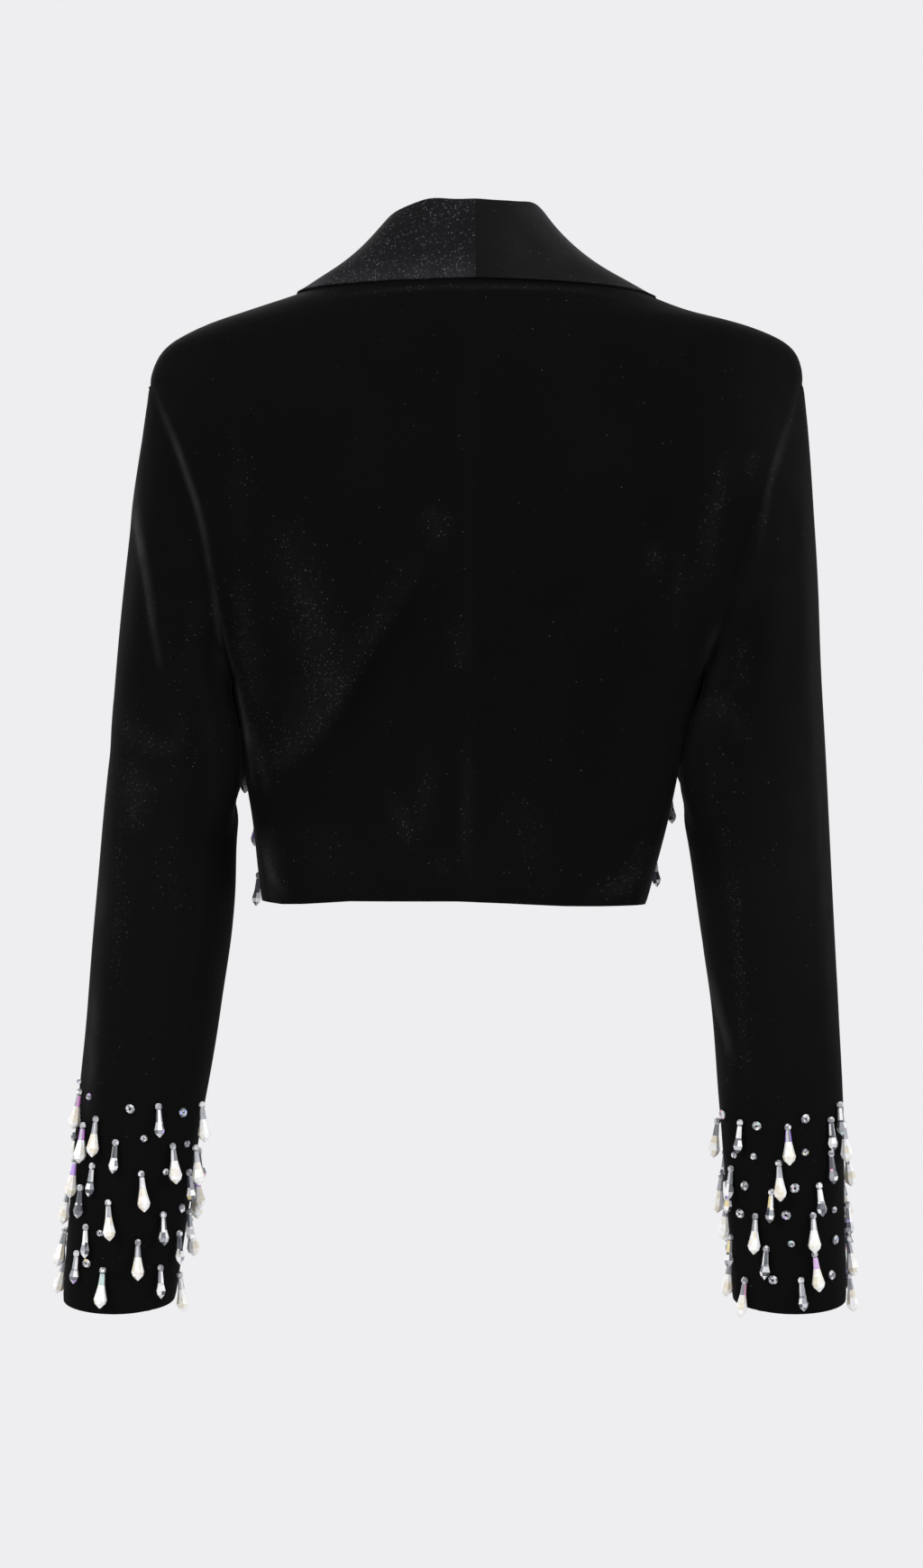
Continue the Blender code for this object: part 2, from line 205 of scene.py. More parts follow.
velvets = {
    "black cut-pile velvet": {
        "deep": "#030303", "lit": "#303030", "tuft": "#3A3A3C", "sheen": 0.034, "sheenRough": 0.30,
        "grain": 0.03, "patch": 0.03, "tuftsBare": 0.003, "tuftsMost": 0.45, "tuftsFull": 0.17,
    },
    # the collar halves are copies of one velvet: the nap-up half painted brighter where it catches the
    # light, the nap-down half darker with a painted rim
    "black velvet collar, nap up, painted sheen": {
        "deep": "#0D0D0E", "lit": "#37373A", "tuft": "#5C5C62", "sheen": 0.06, "sheenRough": 0.35,
        "grain": 0.16, "patch": 0.06, "tuftsBare": 0.26, "tuftsMost": 0.55, "tuftsFull": 0.5,
    },
    "black velvet collar, nap down, painted sheen": {
        "deep": "#0F0F0F", "lit": "#434345", "tuft": "#424244", "sheen": 0.09, "sheenRough": 0.35,
        "grain": 0.03, "patch": 0.05, "tuftsBare": 0.003, "tuftsMost": 0.06, "tuftsFull": 0.6,
    },
}
velvetOf = {"collar_left": "black velvet collar, nap up, painted sheen", "collar_right": "black velvet collar, nap down, painted sheen"}
velvetElsewhere = "black cut-pile velvet"
pile = {
    "tuft": 1.1,               # between tufts that carry a painted glint, drawn coarser than the real 0.4 mm
    "tuftCore": 0.25,          # a painted glint is fully bright up to this share of that spacing,
    "tuftEdge": 0.55,          # and dark from this share on
    "tuftDim": 2.0,            # power that leaves most painted glints dim and a few bright
    "fine": 1.1,               # the pile's own grain, drawn coarser than the real 0.3 mm
    "patch": 46,               # patches where the nap lies another way
    "bump": 0.35,
    "bumpStrength": 0.5,
    "rough": (0.98, 0.84),     # in the hollows and on the tips of the grain
    "gloss": 0.02,
    "sheenTint": "#DCDCDF",
    "lustrePower": 1.6,        # a little painted sheen shows only through the painted glints, more of it as a paler ground
    "lustreMost": 0.9,
}


def makeVelvet(name):
    look = velvets[name]
    material, tree, shader = newMaterial(name, {
        "Specular IOR Level": pile["gloss"], "Sheen Weight": look["sheen"],
        "Sheen Roughness": look["sheenRough"], "Sheen Tint": linear(pile["sheenTint"]),
    })
    place = addNode(tree, "TexCoord", "Object", {})
    toneAndSheen = addNode(tree, "Attribute", "Fac", {"attribute_name": "toneAndSheen"})
    glints = addNode(tree, "Attribute", "Fac", {"attribute_name": "glints"})
    patches = addNode(tree, "TexNoise", "Fac", {"Scale": 1 / (pile["patch"] * mm), "Detail": 3.0,
                                                "Vector": place})
    grain = addNode(tree, "TexNoise", "Fac", {"Scale": 1 / (pile["fine"] * mm), "Detail": 2.0,
                                              "Vector": place})
    fromTuft = addNode(tree, "TexVoronoi", "Distance", {"Scale": 1 / (pile["tuft"] * mm), "Vector": place})
    draw = addNode(tree, "SeparateColor", "Red", {"Color": fromTuft.node.outputs["Color"]})
    otherDraw = draw.node.outputs["Green"]
    share = addNode(tree, "MapRange", "Result", {"From Max": look["tuftsFull"], "To Min": look["tuftsBare"],
                                                 "To Max": look["tuftsMost"], "Value": glints})
    caught = addNode(tree, "Math", 0, {"operation": "LESS_THAN", 0: draw, 1: share})
    spot = addNode(tree, "MapRange", "Result", {"From Min": pile["tuftCore"], "From Max": pile["tuftEdge"],
                                                "To Min": 1.0, "To Max": 0.0, "Value": fromTuft})
    tip = addNode(tree, "Math", 0, {"operation": "MULTIPLY", 0: caught, 1: spot})
    strength = addNode(tree, "Math", 0, {"operation": "POWER", 0: otherDraw, 1: pile["tuftDim"]})
    glint = addNode(tree, "Math", 0, {"operation": "MULTIPLY", 0: tip, 1: strength})
    uneven = addNode(tree, "Math", 0, {"operation": "MULTIPLY", 0: patches, 1: look["patch"]})
    grainy = addNode(tree, "Math", 0, {"operation": "MULTIPLY_ADD", 0: grain, 1: look["grain"], 2: uneven})
    toneAndSheenShown = addNode(tree, "Math", 0, {"operation": "POWER", 0: toneAndSheen, 1: pile["lustrePower"]})
    paintedSheenShare = addNode(tree, "Math", 0, {"operation": "MULTIPLY_ADD", "use_clamp": True, 0: toneAndSheenShown,
                                       1: pile["lustreMost"], 2: grainy})
    # the ground goes from the pile's deep tone to the painted lit colour, and painted glints go on top
    ground = addNode(tree, "Mix", 2, {"data_type": "RGBA", 0: paintedSheenShare, 6: linear(look["deep"]),
                                      7: linear(look["lit"])})
    lit = addNode(tree, "Mix", 2, {"data_type": "RGBA", 0: glint, 6: ground, 7: linear(look["tuft"])})
    inHollow, onTip = pile["rough"]
    rough = addNode(tree, "MapRange", "Result", {"To Min": inHollow, "To Max": onTip, "Value": grain})
    raised = addNode(tree, "Bump", "Normal", {"Strength": pile["bumpStrength"],
                                              "Distance": pile["bump"] * mm, "Height": grain})
    tree.links.new(lit, shader.inputs["Base Color"])
    tree.links.new(rough, shader.inputs["Roughness"])
    tree.links.new(raised, shader.inputs["Normal"])
    return material


# Backing: the plain-woven ground of the velvet, seen only inside. The eye sees dull dark threads.

weave = {
    "thread": 1.4,             # drawn coarser than the real 0.5 mm
    "waveTurn": 0.314,         # length of one wave of the texture at a scale of 1
    "wander": 1.5,             # how unevenly the threads run
    "deep": "#0E0E10",
    "lit": "#222226",
    "bump": 0.2,
    "bumpStrength": 0.4,
    "surface": {"Roughness": 0.85, "Specular IOR Level": 0.15},
}


def makeBacking():
    material, tree, shader = newMaterial("plain-woven black backing", weave["surface"])
    place = addNode(tree, "TexCoord", "Object", {})
    warp, weft = [addNode(tree, "TexWave", "Fac", {
        "bands_direction": direction, "Scale": weave["waveTurn"] / (weave["thread"] * mm),
        "Distortion": weave["wander"], "Vector": place}) for direction in ("X", "Z")]
    crossed = addNode(tree, "Math", 0, {"operation": "MULTIPLY", 0: warp, 1: weft})
    tone = addNode(tree, "Mix", 2, {"data_type": "RGBA", 0: crossed, 6: linear(weave["deep"]),
                                    7: linear(weave["lit"])})
    raised = addNode(tree, "Bump", "Normal", {"Strength": weave["bumpStrength"],
                                              "Distance": weave["bump"] * mm, "Height": crossed})
    tree.links.new(tone, shader.inputs["Base Color"])
    tree.links.new(raised, shader.inputs["Normal"])
    return material


# Crystal: cut lead glass, clear or with a white foil behind it and a rainbow coat. The eye sees flat
# facets, some blazing white, some grey, a few lilac or straw; these reflections are painted into each
# facet's colour.

glass = {  # "speckle" is how dark the reflections inside the glass may be
    "white-foiled cut crystal": {
        "speckle": 0.12,
        "surface": {"Roughness": 0.08, "IOR": 1.56, "Coat Weight": 0.6, "Coat Roughness": 0.03},
    },
    "clear cut crystal": {
        "speckle": 0.45,
        "surface": {"Roughness": 0.05, "IOR": 1.56, "Transmission Weight": 0.35, "Coat Weight": 0.5,
                    "Coat Roughness": 0.03},
    },
}
inGlass = {"size": 2.5, "dark": 0.35, "clear": 0.6}  # reflections inside the glass, drawn by noise


def makeCrystal(name):
    material, tree, shader = newMaterial(name, glass[name]["surface"])
    facet = addNode(tree, "Attribute", "Color", {"attribute_name": "facet"})
    place = addNode(tree, "TexCoord", "Object", {})
    cloud = addNode(tree, "TexNoise", "Fac", {"Scale": 1 / (inGlass["size"] * mm), "Detail": 1.0,
                                              "Vector": place})
    shade = addNode(tree, "MapRange", "Result", {"From Min": inGlass["dark"], "From Max": inGlass["clear"],
                                                 "To Min": 1 - glass[name]["speckle"], "Value": cloud})
    # the painted reflection of the facet, darkened by the painted reflections inside the glass
    tone = addNode(tree, "Mix", 2, {"data_type": "RGBA", "blend_type": "MULTIPLY", 0: 1.0, 6: facet,
                                    7: shade})
    tree.links.new(tone, shader.inputs["Base Color"])
    return material


# Cloth panels

cloth = {
    "wall": 1.6,               # thickness of the velvet with its backing
    "weld": 0.01,              # points of a CAD wall this near to each other are one
    "halvings": 3,             # times that every side of a CAD face is halved
    "formTurns": 4,            # rounds of pulling the smooth sheet back onto the CAD form
    "wallEdge": 50.0,          # degrees, the cut rim of a wall is shaded apart from its faces
    "sewnWithin": 2.6,         # a border this near another panel is sewn to it
    "seamSteps": 6,            # points that stand for each border edge when a seam is closed
    "seamLap": 0.2,            # each panel passes the middle of the seam by this
    "cornerGap": 1.4,          # where two more panels are this near, all three meet
    "seamDip": 0.5,            # depth of the groove along a sewn seam
    "seamSpan": 2.6,           # its half width
    "seamPucker": 12.0,        # spacing of the puckers along it
    "puckerShare": 0.5,        # and how far they change its depth
    "hold": 9.0,               # a crease dies out this far from a seam
    "pathSteps": 6,            # straight steps between two points of a crease
    "creaseReach": 2.5,        # half widths within which a crease is worked out
    "creaseFade": 0.7,         # power with which a crease fades out to its ends
    "facingBase": 0.35,        # strength of a crease of the back where the cloth faces to the side,
    "facingGain": 1.4,         # and how fast that grows as the cloth turns to the back
    "litEdge": 8.0,            # a crease lit on one side goes dark over this
    "tuckHold": 5.0,           # a tuck of the sleeve dies out this far from the armhole
    "sleeveBand": 6.0,         # half the height of the bands in which the middle of a sleeve is found
    "ripple": 0.7,             # slight unevenness of the hanging cloth
    "rippleSpan": 75.0,
    "edgeRound": 0.5,          # the turned edge of hem, cuffs and fronts curls in by this
    "edgeSpan": 3.0,
    "flatLustre": 0.16,        # how far the pile of flat cloth is crushed, from 0 to 1
    "lowLustre": {"sleeve": 0.08, "back": 0.03, "front": 0.03},  # how much more low down
    "lowFrom": -0.24,          # metres
    "lowTo": -0.38,
    "seamLustre": 0.03,        # how much more along a seam
    "cluster": 15.0,           # spacing of the clusters in which painted sheen is stronger and painted glints are bright
    "lustreMean": 0.9,
    "lustreSwing": 0.3,
    "tuftsMean": 0.85,
    "tuftsSwing": 0.9,
}
shawl = {
    "wall": 2.0,               # thickness, away from the free edge
    "press": 1.9,              # the free edge lies this much lower than its solid, on the jacket
    "pressSpan": 11.0,
    "wallShare": 0.5,          # the wall is this much of its thickness there
    "wallSpan": 6.0,
    "breakFrom": -0.285,       # metres, the press fades out down to the break
    "breakTo": -0.262,
    "rippleShare": 0.3,        # the stiffer collar has this much of the ripple of the panels
    "dipShare": 0.4,           # and of the groove along a seam
    "tuftsSwing": 0.3,
    "seamSway": -3.4,          # the seam of the two halves stands this far towards the right sleeve
    "seamSwaySpan": 42.0,
    "swayFrom": -0.10,         # metres, the lapels below don't
    "swayFull": -0.04,
    "pointFrom": -0.268,       # metres, each lapel narrows to a point from here
    "pointTo": -0.2945,
    "pointAt": 7.7,            # from the middle, on the edge of its front
    "pointPower": 1.4,
    "corners": [(27, 12, 2.6), (-24, 10, 1.0), (-39, 10, 3.6)],  # across, half width and lift on the roll
    "cornerFrom": 10.0,        # height above the neck base where the lift starts
    "cornerFull": 35.0,
}
collarSheen = {  # painted sheen: how the pile of each collar half catches the light, on its own tone
    "left": {
        "ground": 0.12,
        "edge": 0.33, "edgeSpan": 13,  # along the free edge
        "edgeMore": 0.35, "edgeMoreAt": 18, "edgeMoreSpan": 15,  # and more of it round one place
        "rim": 0.22, "rimFrom": 0.45, "rimFull": 0.90,  # painted rim sheen where it turns to the side
        "patches": [(0.40, (8, 45), (14, 8)),  # strength, place across and up, half widths
                    (-0.16, (49, 22), (13, 12)), (-0.14, (4, 22), (6, 10))],
    },
    "right": {
        "away": 0.20, "awayFrom": 3, "awayFull": 27,  # away from the seam of the halves
        "top": 0.20, "topAt": 45, "topSpan": 7,  # along the roll
        "rim": 0.8, "rimFrom": 0.30, "rimFull": 0.80, "rimPower": 2,
    },
}
hem = {
    "from": -0.300,            # metres, the cloth hangs longer from here down
    "full": -0.397,
    "drop": [(-125, 4.0), (-80, 3.7), (-58, 3.2), (-21, 1.2), (8, 0.0), (74, 0.2), (103, 2.3), (117, 2.8),
             (131, 1.5)],      # place across, how much lower the hem is there
}
panels = {  # the cut's width and length in metres, its area in square metres, the piece it is sewn to
    "back_left": {"flat": (0.225, 0.450), "area": 0.0762, "sewnTo": "backRight"},
    "back_right": {"flat": (0.225, 0.450), "area": 0.0772, "sewnTo": "backLeft"},
    "front_left": {"flat": (0.235, 0.440), "area": 0.0700, "sewnTo": "backLeft"},
    "front_right": {"flat": (0.235, 0.440), "area": 0.0711, "sewnTo": "backRight"},
    "sleeve_upper_left": {"flat": (0.215, 0.600), "area": 0.1024, "sewnTo": "backLeft"},
    "sleeve_upper_right": {"flat": (0.215, 0.600), "area": 0.1011, "sewnTo": "backRight"},
    "sleeve_under_left": {"flat": (0.105, 0.450), "area": 0.0356, "sewnTo": "sleeveUpperLeft"},
    "sleeve_under_right": {"flat": (0.105, 0.450), "area": 0.0359, "sewnTo": "sleeveUpperRight"},
    "collar_left": {"flat": (0.090, 0.500), "area": 0.0346, "sewnTo": "backLeft"},
    "collar_right": {"flat": (0.090, 0.500), "area": 0.0357, "sewnTo": "backRight"},
}


# A crease has the points of its path, its half width and height, and how much painted sheen (below 0,
# painted shade) and how many painted glints it adds to flat cloth, the same of both where only one is
# given. It is on panels whose names start with "on".
# With litOn 1 its sheen is painted only to the left of the path, with -1 to
# the right.
def crease(path, span, rise, toneAndSheen=0.0, tufts=None, on="", litOn=0):
    return {"path": path, "span": span, "rise": rise, "toneAndSheen": toneAndSheen, "on": on, "litOn": litOn,
            "tufts": toneAndSheen if tufts is None else tufts}


def paintedLight(path, span, toneAndSheen, tufts=0.0, on="", litOn=0):  # painted sheen or shade, and painted glints, with no height
    return crease(path, span, 0.0, toneAndSheen, tufts, on, litOn)


# Creases seen in the photograph, with the sheen, shade and glints painted along them: points in photo
# pixels
creasesBack = [
    # Left half of the back
    crease([(318, 575), (334, 640), (352, 700), (358, 745), (346, 795), (322, 838), (303, 860)],
           13, 3.0, 0.13),
    crease([(287, 856), (317, 839), (357, 799), (398, 727), (440, 660), (472, 614)], 7, 2.2, 0.03),
    paintedLight([(295, 862), (325, 847), (366, 806), (407, 734), (449, 667), (480, 620)],
            11, 0.09, tufts=0.09, litOn=1),
    paintedLight([(295, 862), (325, 847), (366, 806), (407, 734), (449, 667), (480, 620)],
            15, -0.07, tufts=-0.07, litOn=-1),
    crease([(305, 872), (335, 856), (376, 815), (417, 742), (458, 676), (490, 630)], 10, -2.7, 0.0),
    crease([(264, 636), (274, 700), (284, 760), (294, 795)], 6, 1.6, 0.11),
    crease([(262, 470), (266, 550), (268, 630)], 6, 0.9, 0.04),
    crease([(474, 560), (485, 585), (478, 608)], 7, 0.8, 0.1),
    crease([(497, 688), (512, 715), (505, 748)], 6, 0.6, 0.08),
    crease([(434, 882), (446, 912), (456, 942)], 6, 0.9, 0.1),
    crease([(475, 842), (471, 888), (466, 932)], 5, 0.7, 0.08),
    crease([(484, 948), (495, 976)], 5, 0.4, 0.08),
    paintedLight([(519, 830), (517, 900), (515, 968)], 3.5, 0.1, tufts=0.1),
    crease([(350, 905), (357, 948), (355, 988)], 15, 1.2, 0.03),
    # Left armhole and side
    crease([(169, 430), (182, 462), (197, 498), (210, 536), (218, 560), (227, 598), (234, 640)],
           2.0, 1.0, 0.7, tufts=0.03),
    crease([(229, 615), (236, 650), (241, 685), (248, 729), (258, 772)], 2.2, 0.6, 0.38, tufts=0.03),
    paintedLight([(240, 680), (250, 725), (258, 752), (264, 775), (269, 797), (273, 820), (276, 848),
             (280, 880)], 2.6, 0.95, tufts=0.05, on=("back", "front")),
    paintedLight([(244, 722), (250, 748), (256, 775), (261, 800), (265, 828), (268, 856)], 3.5, 0.7),
    paintedLight([(268, 790), (280, 824), (290, 852), (299, 884)], 3.6, 0.22, tufts=0.08),
    paintedLight([(289, 928), (296, 955), (304, 971), (321, 990)], 2.4, 0.24, tufts=0.24),
    paintedLight([(290, 915), (298, 962), (305, 1015)], 7, 0.42, tufts=0.08),
    # Left sleeve, and the shaded side beside it
    crease([(157, 490), (154, 536), (153, 576), (160, 619), (165, 655), (170, 695), (179, 748)],
           2.4, 1.8, 0.64, tufts=0.04, on="sleeve"),
    paintedLight([(153, 528), (152, 560), (154, 590), (159, 622)], 2.4, 0.55, on="sleeve"),
    crease([(190, 540), (203, 640), (215, 700), (228, 770), (247, 834)],
           12, -2.6, 0.04, tufts=0.0, on="sleeve"),
    paintedLight([(196, 640), (204, 700), (212, 770), (222, 850)], 15, 0.06, tufts=0.02, on="sleeve"),
    paintedLight([(232, 640), (246, 710), (256, 780), (263, 840), (268, 900)], 10, 0.08, on="sleeve"),
    paintedLight([(248, 745), (257, 790), (263, 835), (266, 880), (268, 940)], 6, 0.34, on="sleeve"),
    paintedLight([(258, 700), (270, 765), (281, 815), (292, 858)], 9, 0.06, tufts=0.06, on="back"),
    crease([(137, 774), (150, 812), (172, 830), (196, 826), (208, 796)], 7, 2.6, 0.12),
    crease([(130, 812), (166, 860), (207, 852)], 9, -2.4, 0.03),
    crease([(144, 842), (151, 880), (145, 928)], 9, 1.6, 0.14),
    crease([(134, 930), (136, 975), (134, 1020), (133, 1060), (131, 1100)], 4, 0.5, 0.02, tufts=0.11),
    crease([(201, 920), (188, 962), (196, 995), (207, 1024)], 7, 1.0, 0.01, tufts=0.08),
    crease([(118, 1140), (132, 1160), (138, 1180)], 5, 0.4, 0.0, tufts=0.07),
    crease([(254, 1020), (251, 1060), (243, 1100)], 6, 0.6, 0.06),
    paintedLight([(128, 790), (123, 860), (116, 940), (110, 1010), (103, 1100), (95, 1190), (90, 1260)],
            4, 0.24, on="sleeve"),
    paintedLight([(116, 930), (113, 985), (110, 1040), (107, 1090)], 8, 0.13, on="sleeve"),
    paintedLight([(107, 1080), (102, 1150), (99, 1190), (96, 1250)], 5, 0.42, tufts=0.02, on="sleeve"),
    paintedLight([(216, 378), (202, 415), (192, 470)], 20, 0.03),
    # Right half of the back, its armhole and side, and the sleeve beside it
    crease([(727, 600), (725, 622), (722, 642)], 5, 0.7, 0.09),
    crease([(756, 606), (752, 650), (748, 696)], 4, 1.0, 0.06),
    crease([(700, 690), (672, 760), (640, 840)], 16, -1.6, -0.02),
    crease([(560, 880), (585, 930), (590, 990)], 14, 1.2, 0.03),
    paintedLight([(652, 990), (690, 978), (709, 956), (720, 926)], 6, 0.15, tufts=0.15),
    crease([(889, 424), (876, 470), (864, 505), (855, 535), (848, 575), (841, 616)],
           2.2, 0.9, 0.24, tufts=0.05),
    paintedLight([(840, 360), (854, 400), (864, 450), (869, 500), (871, 555)], 26, 0.13),
    paintedLight([(800, 690), (791, 712), (784, 737), (776, 762), (770, 787), (763, 812), (757, 838),
             (752, 862)], 2.6, 0.6),
    paintedLight([(773, 770), (765, 805), (757, 832), (749, 862)], 2.8, 0.46, tufts=0.05, on=("back", "front")),
    paintedLight([(812, 590), (786, 670), (766, 750), (750, 830), (738, 910), (732, 1000)],
            24, 0.08, on="back"),
    paintedLight([(820, 640), (804, 690), (788, 740), (773, 790), (758, 840), (746, 885)],
            8, 0.12, on=("back", "front")),
    paintedLight([(812, 680), (797, 735), (782, 785), (769, 830), (761, 880), (758, 950), (764, 1020)],
            6, 0.12, on="sleeve"),
    paintedLight([(842, 610), (818, 670), (796, 740), (778, 800), (764, 850), (758, 900)],
            13, 0.08, on="sleeve"),
    paintedLight([(860, 470), (862, 560), (862, 640), (860, 720)], 24, 0.05, on="sleeve"),
    # Right sleeve
    crease([(804, 500), (796, 540), (788, 590), (782, 645)], 6, 2.2, 0.12),
    crease([(839, 496), (834, 512), (830, 530)], 4, 0.6, 0.09),
    crease([(856, 552), (846, 600), (838, 650)], 6, 1.4, 0.03),
    crease([(825, 704), (823, 740), (821, 774)], 4.5, 1.4, 0.09),
    crease([(796, 770), (811, 798), (826, 828)], 7, 2.4, 0.14),
    crease([(775, 800), (800, 845), (850, 856)], 9, -2.6, 0.01),
    crease([(803, 870), (809, 946), (814, 980), (817, 1026), (820, 1082), (827, 1160), (837, 1226)],
           4, 0.9, 0.03, tufts=0.13),
    crease([(782, 1046), (788, 1078), (794, 1105), (800, 1128), (806, 1149), (811, 1172)],
           2.2, 2.0, 0.8, tufts=0.03),
    crease([(808, 1138), (804, 1185), (800, 1240)], 6, 0.8, 0.16, tufts=0.03),
    crease([(772, 960), (780, 1020), (787, 1075)], 4, 0.4, 0.12, tufts=0.0),
    paintedLight([(870, 390), (880, 500), (885, 620), (889, 740), (895, 860), (902, 1000), (908, 1120)],
            15, 0.11, on="sleeve"),
    paintedLight([(897, 600), (901, 700), (905, 780), (909, 860), (914, 940), (918, 1040), (922, 1110),
             (928, 1200)], 4, 0.24, on="sleeve"),
    paintedLight([(870, 640), (876, 800), (884, 960), (890, 1100), (896, 1230)], 26, 0.03, on="sleeve"),
    crease([(836, 940), (854, 950), (868, 966)], 5, 0.4, 0.0, tufts=0.06),
    # Back neck, along the fall of the collar
    paintedLight([(343, 332), (430, 322), (520, 318), (620, 320), (680, 328), (718, 341)],
            1.8, 0.2, tufts=0.06, on="back"),
]

# Similar creases on the front, which is hidden there: points across to the left and up
creasesFront = [
    crease([(150, -150), (122, -205), (104, -262)], 13, 2.4, 0.12),
    crease([(140, -215), (112, -262), (70, -292)], 11, -2.4, -0.05),
    crease([(60, -310), (66, -352), (58, -390)], 12, 1.5, 0.08),
    crease([(-146, -160), (-128, -220), (-112, -280)], 14, 2.2, 0.12),
    crease([(-136, -235), (-96, -280), (-62, -300)], 12, -2.6, -0.05),
    crease([(-44, -312), (-52, -350), (-47, -394)], 13, 1.4, 0.07),
    crease([(172, -318), (190, -336), (222, -330)], 8, -4.0, -0.06, on="sleeve"),
    crease([(168, -352), (192, -362), (228, -350)], 9, -4.4, -0.06, on="sleeve"),
    crease([(170, -335), (196, -349), (226, -340)], 8, 2.8, 0.16, on="sleeve"),
    crease([(178, -420), (196, -408), (224, -416)], 9, -2.4, -0.04, on="sleeve"),
    crease([(176, -404), (200, -392), (226, -398)], 8, 1.4, 0.08, on="sleeve"),
    crease([(-162, -326), (-186, -344), (-216, -338)], 9, -4.2, -0.06, on="sleeve"),
    crease([(-160, -364), (-184, -374), (-222, -366)], 8, -3.6, -0.06, on="sleeve"),
    crease([(-162, -346), (-188, -359), (-218, -352)], 8, 3.0, 0.16, on="sleeve"),
    crease([(-168, -440), (-190, -428), (-222, -438)], 10, -2.2, -0.04, on="sleeve"),
]

# Where the sleeves are full, and creases inside the elbows: points across, to the back and up
tucks = [
    crease([(152, -18, -238), (151, -22, -258), (150, -24, -280), (149, -26, -304), (147, -28, -330)],
           16, 6.2),
    crease([(151, -20, -230), (151, -22, -248), (150, -24, -266)], 10, 3.2),
    crease([(148, -26, -296), (147, -28, -310), (146, -28, -326)], 10, 3.4),
    crease([(154, 32, -232), (154, 32, -262), (153, 32, -290), (152, 32, -315), (152, 32, -338),
            (154, 32, -358)], 15, 11.6),
    crease([(-154, -18, -234), (-147, -22, -256), (-142, -24, -280), (-139, -26, -304), (-137, -28, -328)],
           16, 5.6),
    crease([(-157, -16, -224), (-151, -20, -248), (-145, -22, -278)], 10, 3.6),
    crease([(-139, -27, -300), (-137, -28, -313), (-136, -28, -328)], 8, 4.6),
    crease([(-153, 32, -230), (-149, 32, -262), (-145, 32, -285), (-142, 32, -310), (-141, 32, -335),
            (-143, 32, -355)], 15, 10.6),
    crease([(152, -44, -338), (147, -8, -335), (152, 28, -340)], 7, -3.2),
    crease([(-141, -42, -340), (-135, -8, -338), (-141, 26, -343)], 8, -1.6),
    crease([(207, 0, -85), (213, 0, -150), (219, -1, -210), (223, -2, -260), (226, -3, -305)], 24, 2.2),
    crease([(147, -8, -345), (149, -10, -385), (153, -13, -420), (158, -18, -455), (163, -22, -495),
            (168, -26, -535)], 16, 2.2),
    crease([(-212, 0, -90), (-219, -1, -228), (-225, -4, -314), (-229, -10, -399), (-233, -20, -485),
            (-237, -32, -570), (-238, -38, -640)], 24, 1.7),
]


def pieceName(nodeName):  # back_left becomes backLeft
    first, *rest = nodeName.split("_")
    return first + "".join(word.capitalize() for word in rest)


def sideOf(nodeName):
    return nodeName.split("_")[-1]


def isCollar(nodeName):
    return nodeName.startswith("collar")


def isSleeve(nodeName):
    return nodeName.startswith("sleeve")


def coordinates(mesh):
    flat = np.empty(len(mesh.vertices) * 3)
    mesh.vertices.foreach_get("co", flat)
    return flat.reshape(-1, 3)


def setCoordinates(mesh, points):
    mesh.vertices.foreach_set("co", np.ascontiguousarray(points).ravel())
    mesh.update()


def vertexNormals(mesh):
    flat = np.empty(len(mesh.vertices) * 3)
    mesh.vertex_normals.foreach_get("vector", flat)
    return flat.reshape(-1, 3)


def outerSheet(nodeName):  # the outer face of a CAD wall, as an open sheet of quads
    sheet = bpy.data.objects.new(pieceName(nodeName), frame["nodes"][nodeName].data.copy())
    bpy.context.scene.collection.objects.link(sheet)
    choose(sheet)
    mesh = sheet.data
    mesh.name = sheet.name
    mesh.materials.clear()
    bpy.ops.mesh.customdata_custom_splitnormals_clear()
    setMode("EDIT")
    bpy.ops.mesh.select_all(action="SELECT")
    bpy.ops.mesh.mark_sharp(clear=True)
    bpy.ops.mesh.remove_doubles(threshold=cloth["weld"] * mm)
    bpy.ops.mesh.tris_convert_to_quads(face_threshold=math.pi, shape_threshold=math.pi,
                                       topology_influence=2.0)
    bpy.ops.mesh.select_mode(type="EDGE")
    bpy.ops.mesh.select_all(action="DESELECT")
    setMode("OBJECT")
    meeting = Counter(v for edge in mesh.edges for v in edge.vertices)
    for edge in mesh.edges:  # an edge through the wall at one of its corners, where three edges meet
        if all(meeting[v] == 3 for v in edge.vertices):
            edge.select = True
            break
    setMode("EDIT")
    bpy.ops.mesh.loop_multi_select(ring=True)
    bpy.ops.mesh.delete(type="EDGE")  # the rim goes, and the two faces of the wall come apart
    bpy.ops.mesh.select_mode(type="FACE")
    setMode("OBJECT")
    mesh.polygons[0].select = True
    setMode("EDIT")
    bpy.ops.mesh.select_linked()
    setMode("OBJECT")
    chosen = sum(face.area for face in mesh.polygons if face.select)
    whole = sum(face.area for face in mesh.polygons)
    setMode("EDIT")
    if chosen > whole / 2:  # the outer face is the larger
        bpy.ops.mesh.select_all(action="INVERT")
    bpy.ops.mesh.delete(type="VERT")
    setMode("OBJECT")
    bpy.ops.object.shade_smooth()
    return sheet


def soften(sheet):  # a smooth fine sheet through the CAD points
    mesh = sheet.data
    smooth = sheet.modifiers.new("softForm", "SUBSURF")
    smooth.levels = smooth.render_levels = cloth["halvings"]
    smooth.boundary_smooth = "PRESERVE_CORNERS"
    wanted = coordinates(mesh)
    pulled = wanted.copy()
    for turn in range(cloth["formTurns"]):
        bpy.context.view_layer.update()
        shown = sheet.evaluated_get(bpy.context.evaluated_depsgraph_get()).data
        pulled += wanted - coordinates(shown)[:len(wanted)]
        setCoordinates(mesh, pulled)
    choose(sheet)
    bpy.ops.object.modifier_apply(modifier="softForm")
    return sheet


def borderEdges(mesh):
    uses = Counter(key for face in mesh.polygons for key in face.edge_keys)
    return [key for key, count in uses.items() if count == 1]


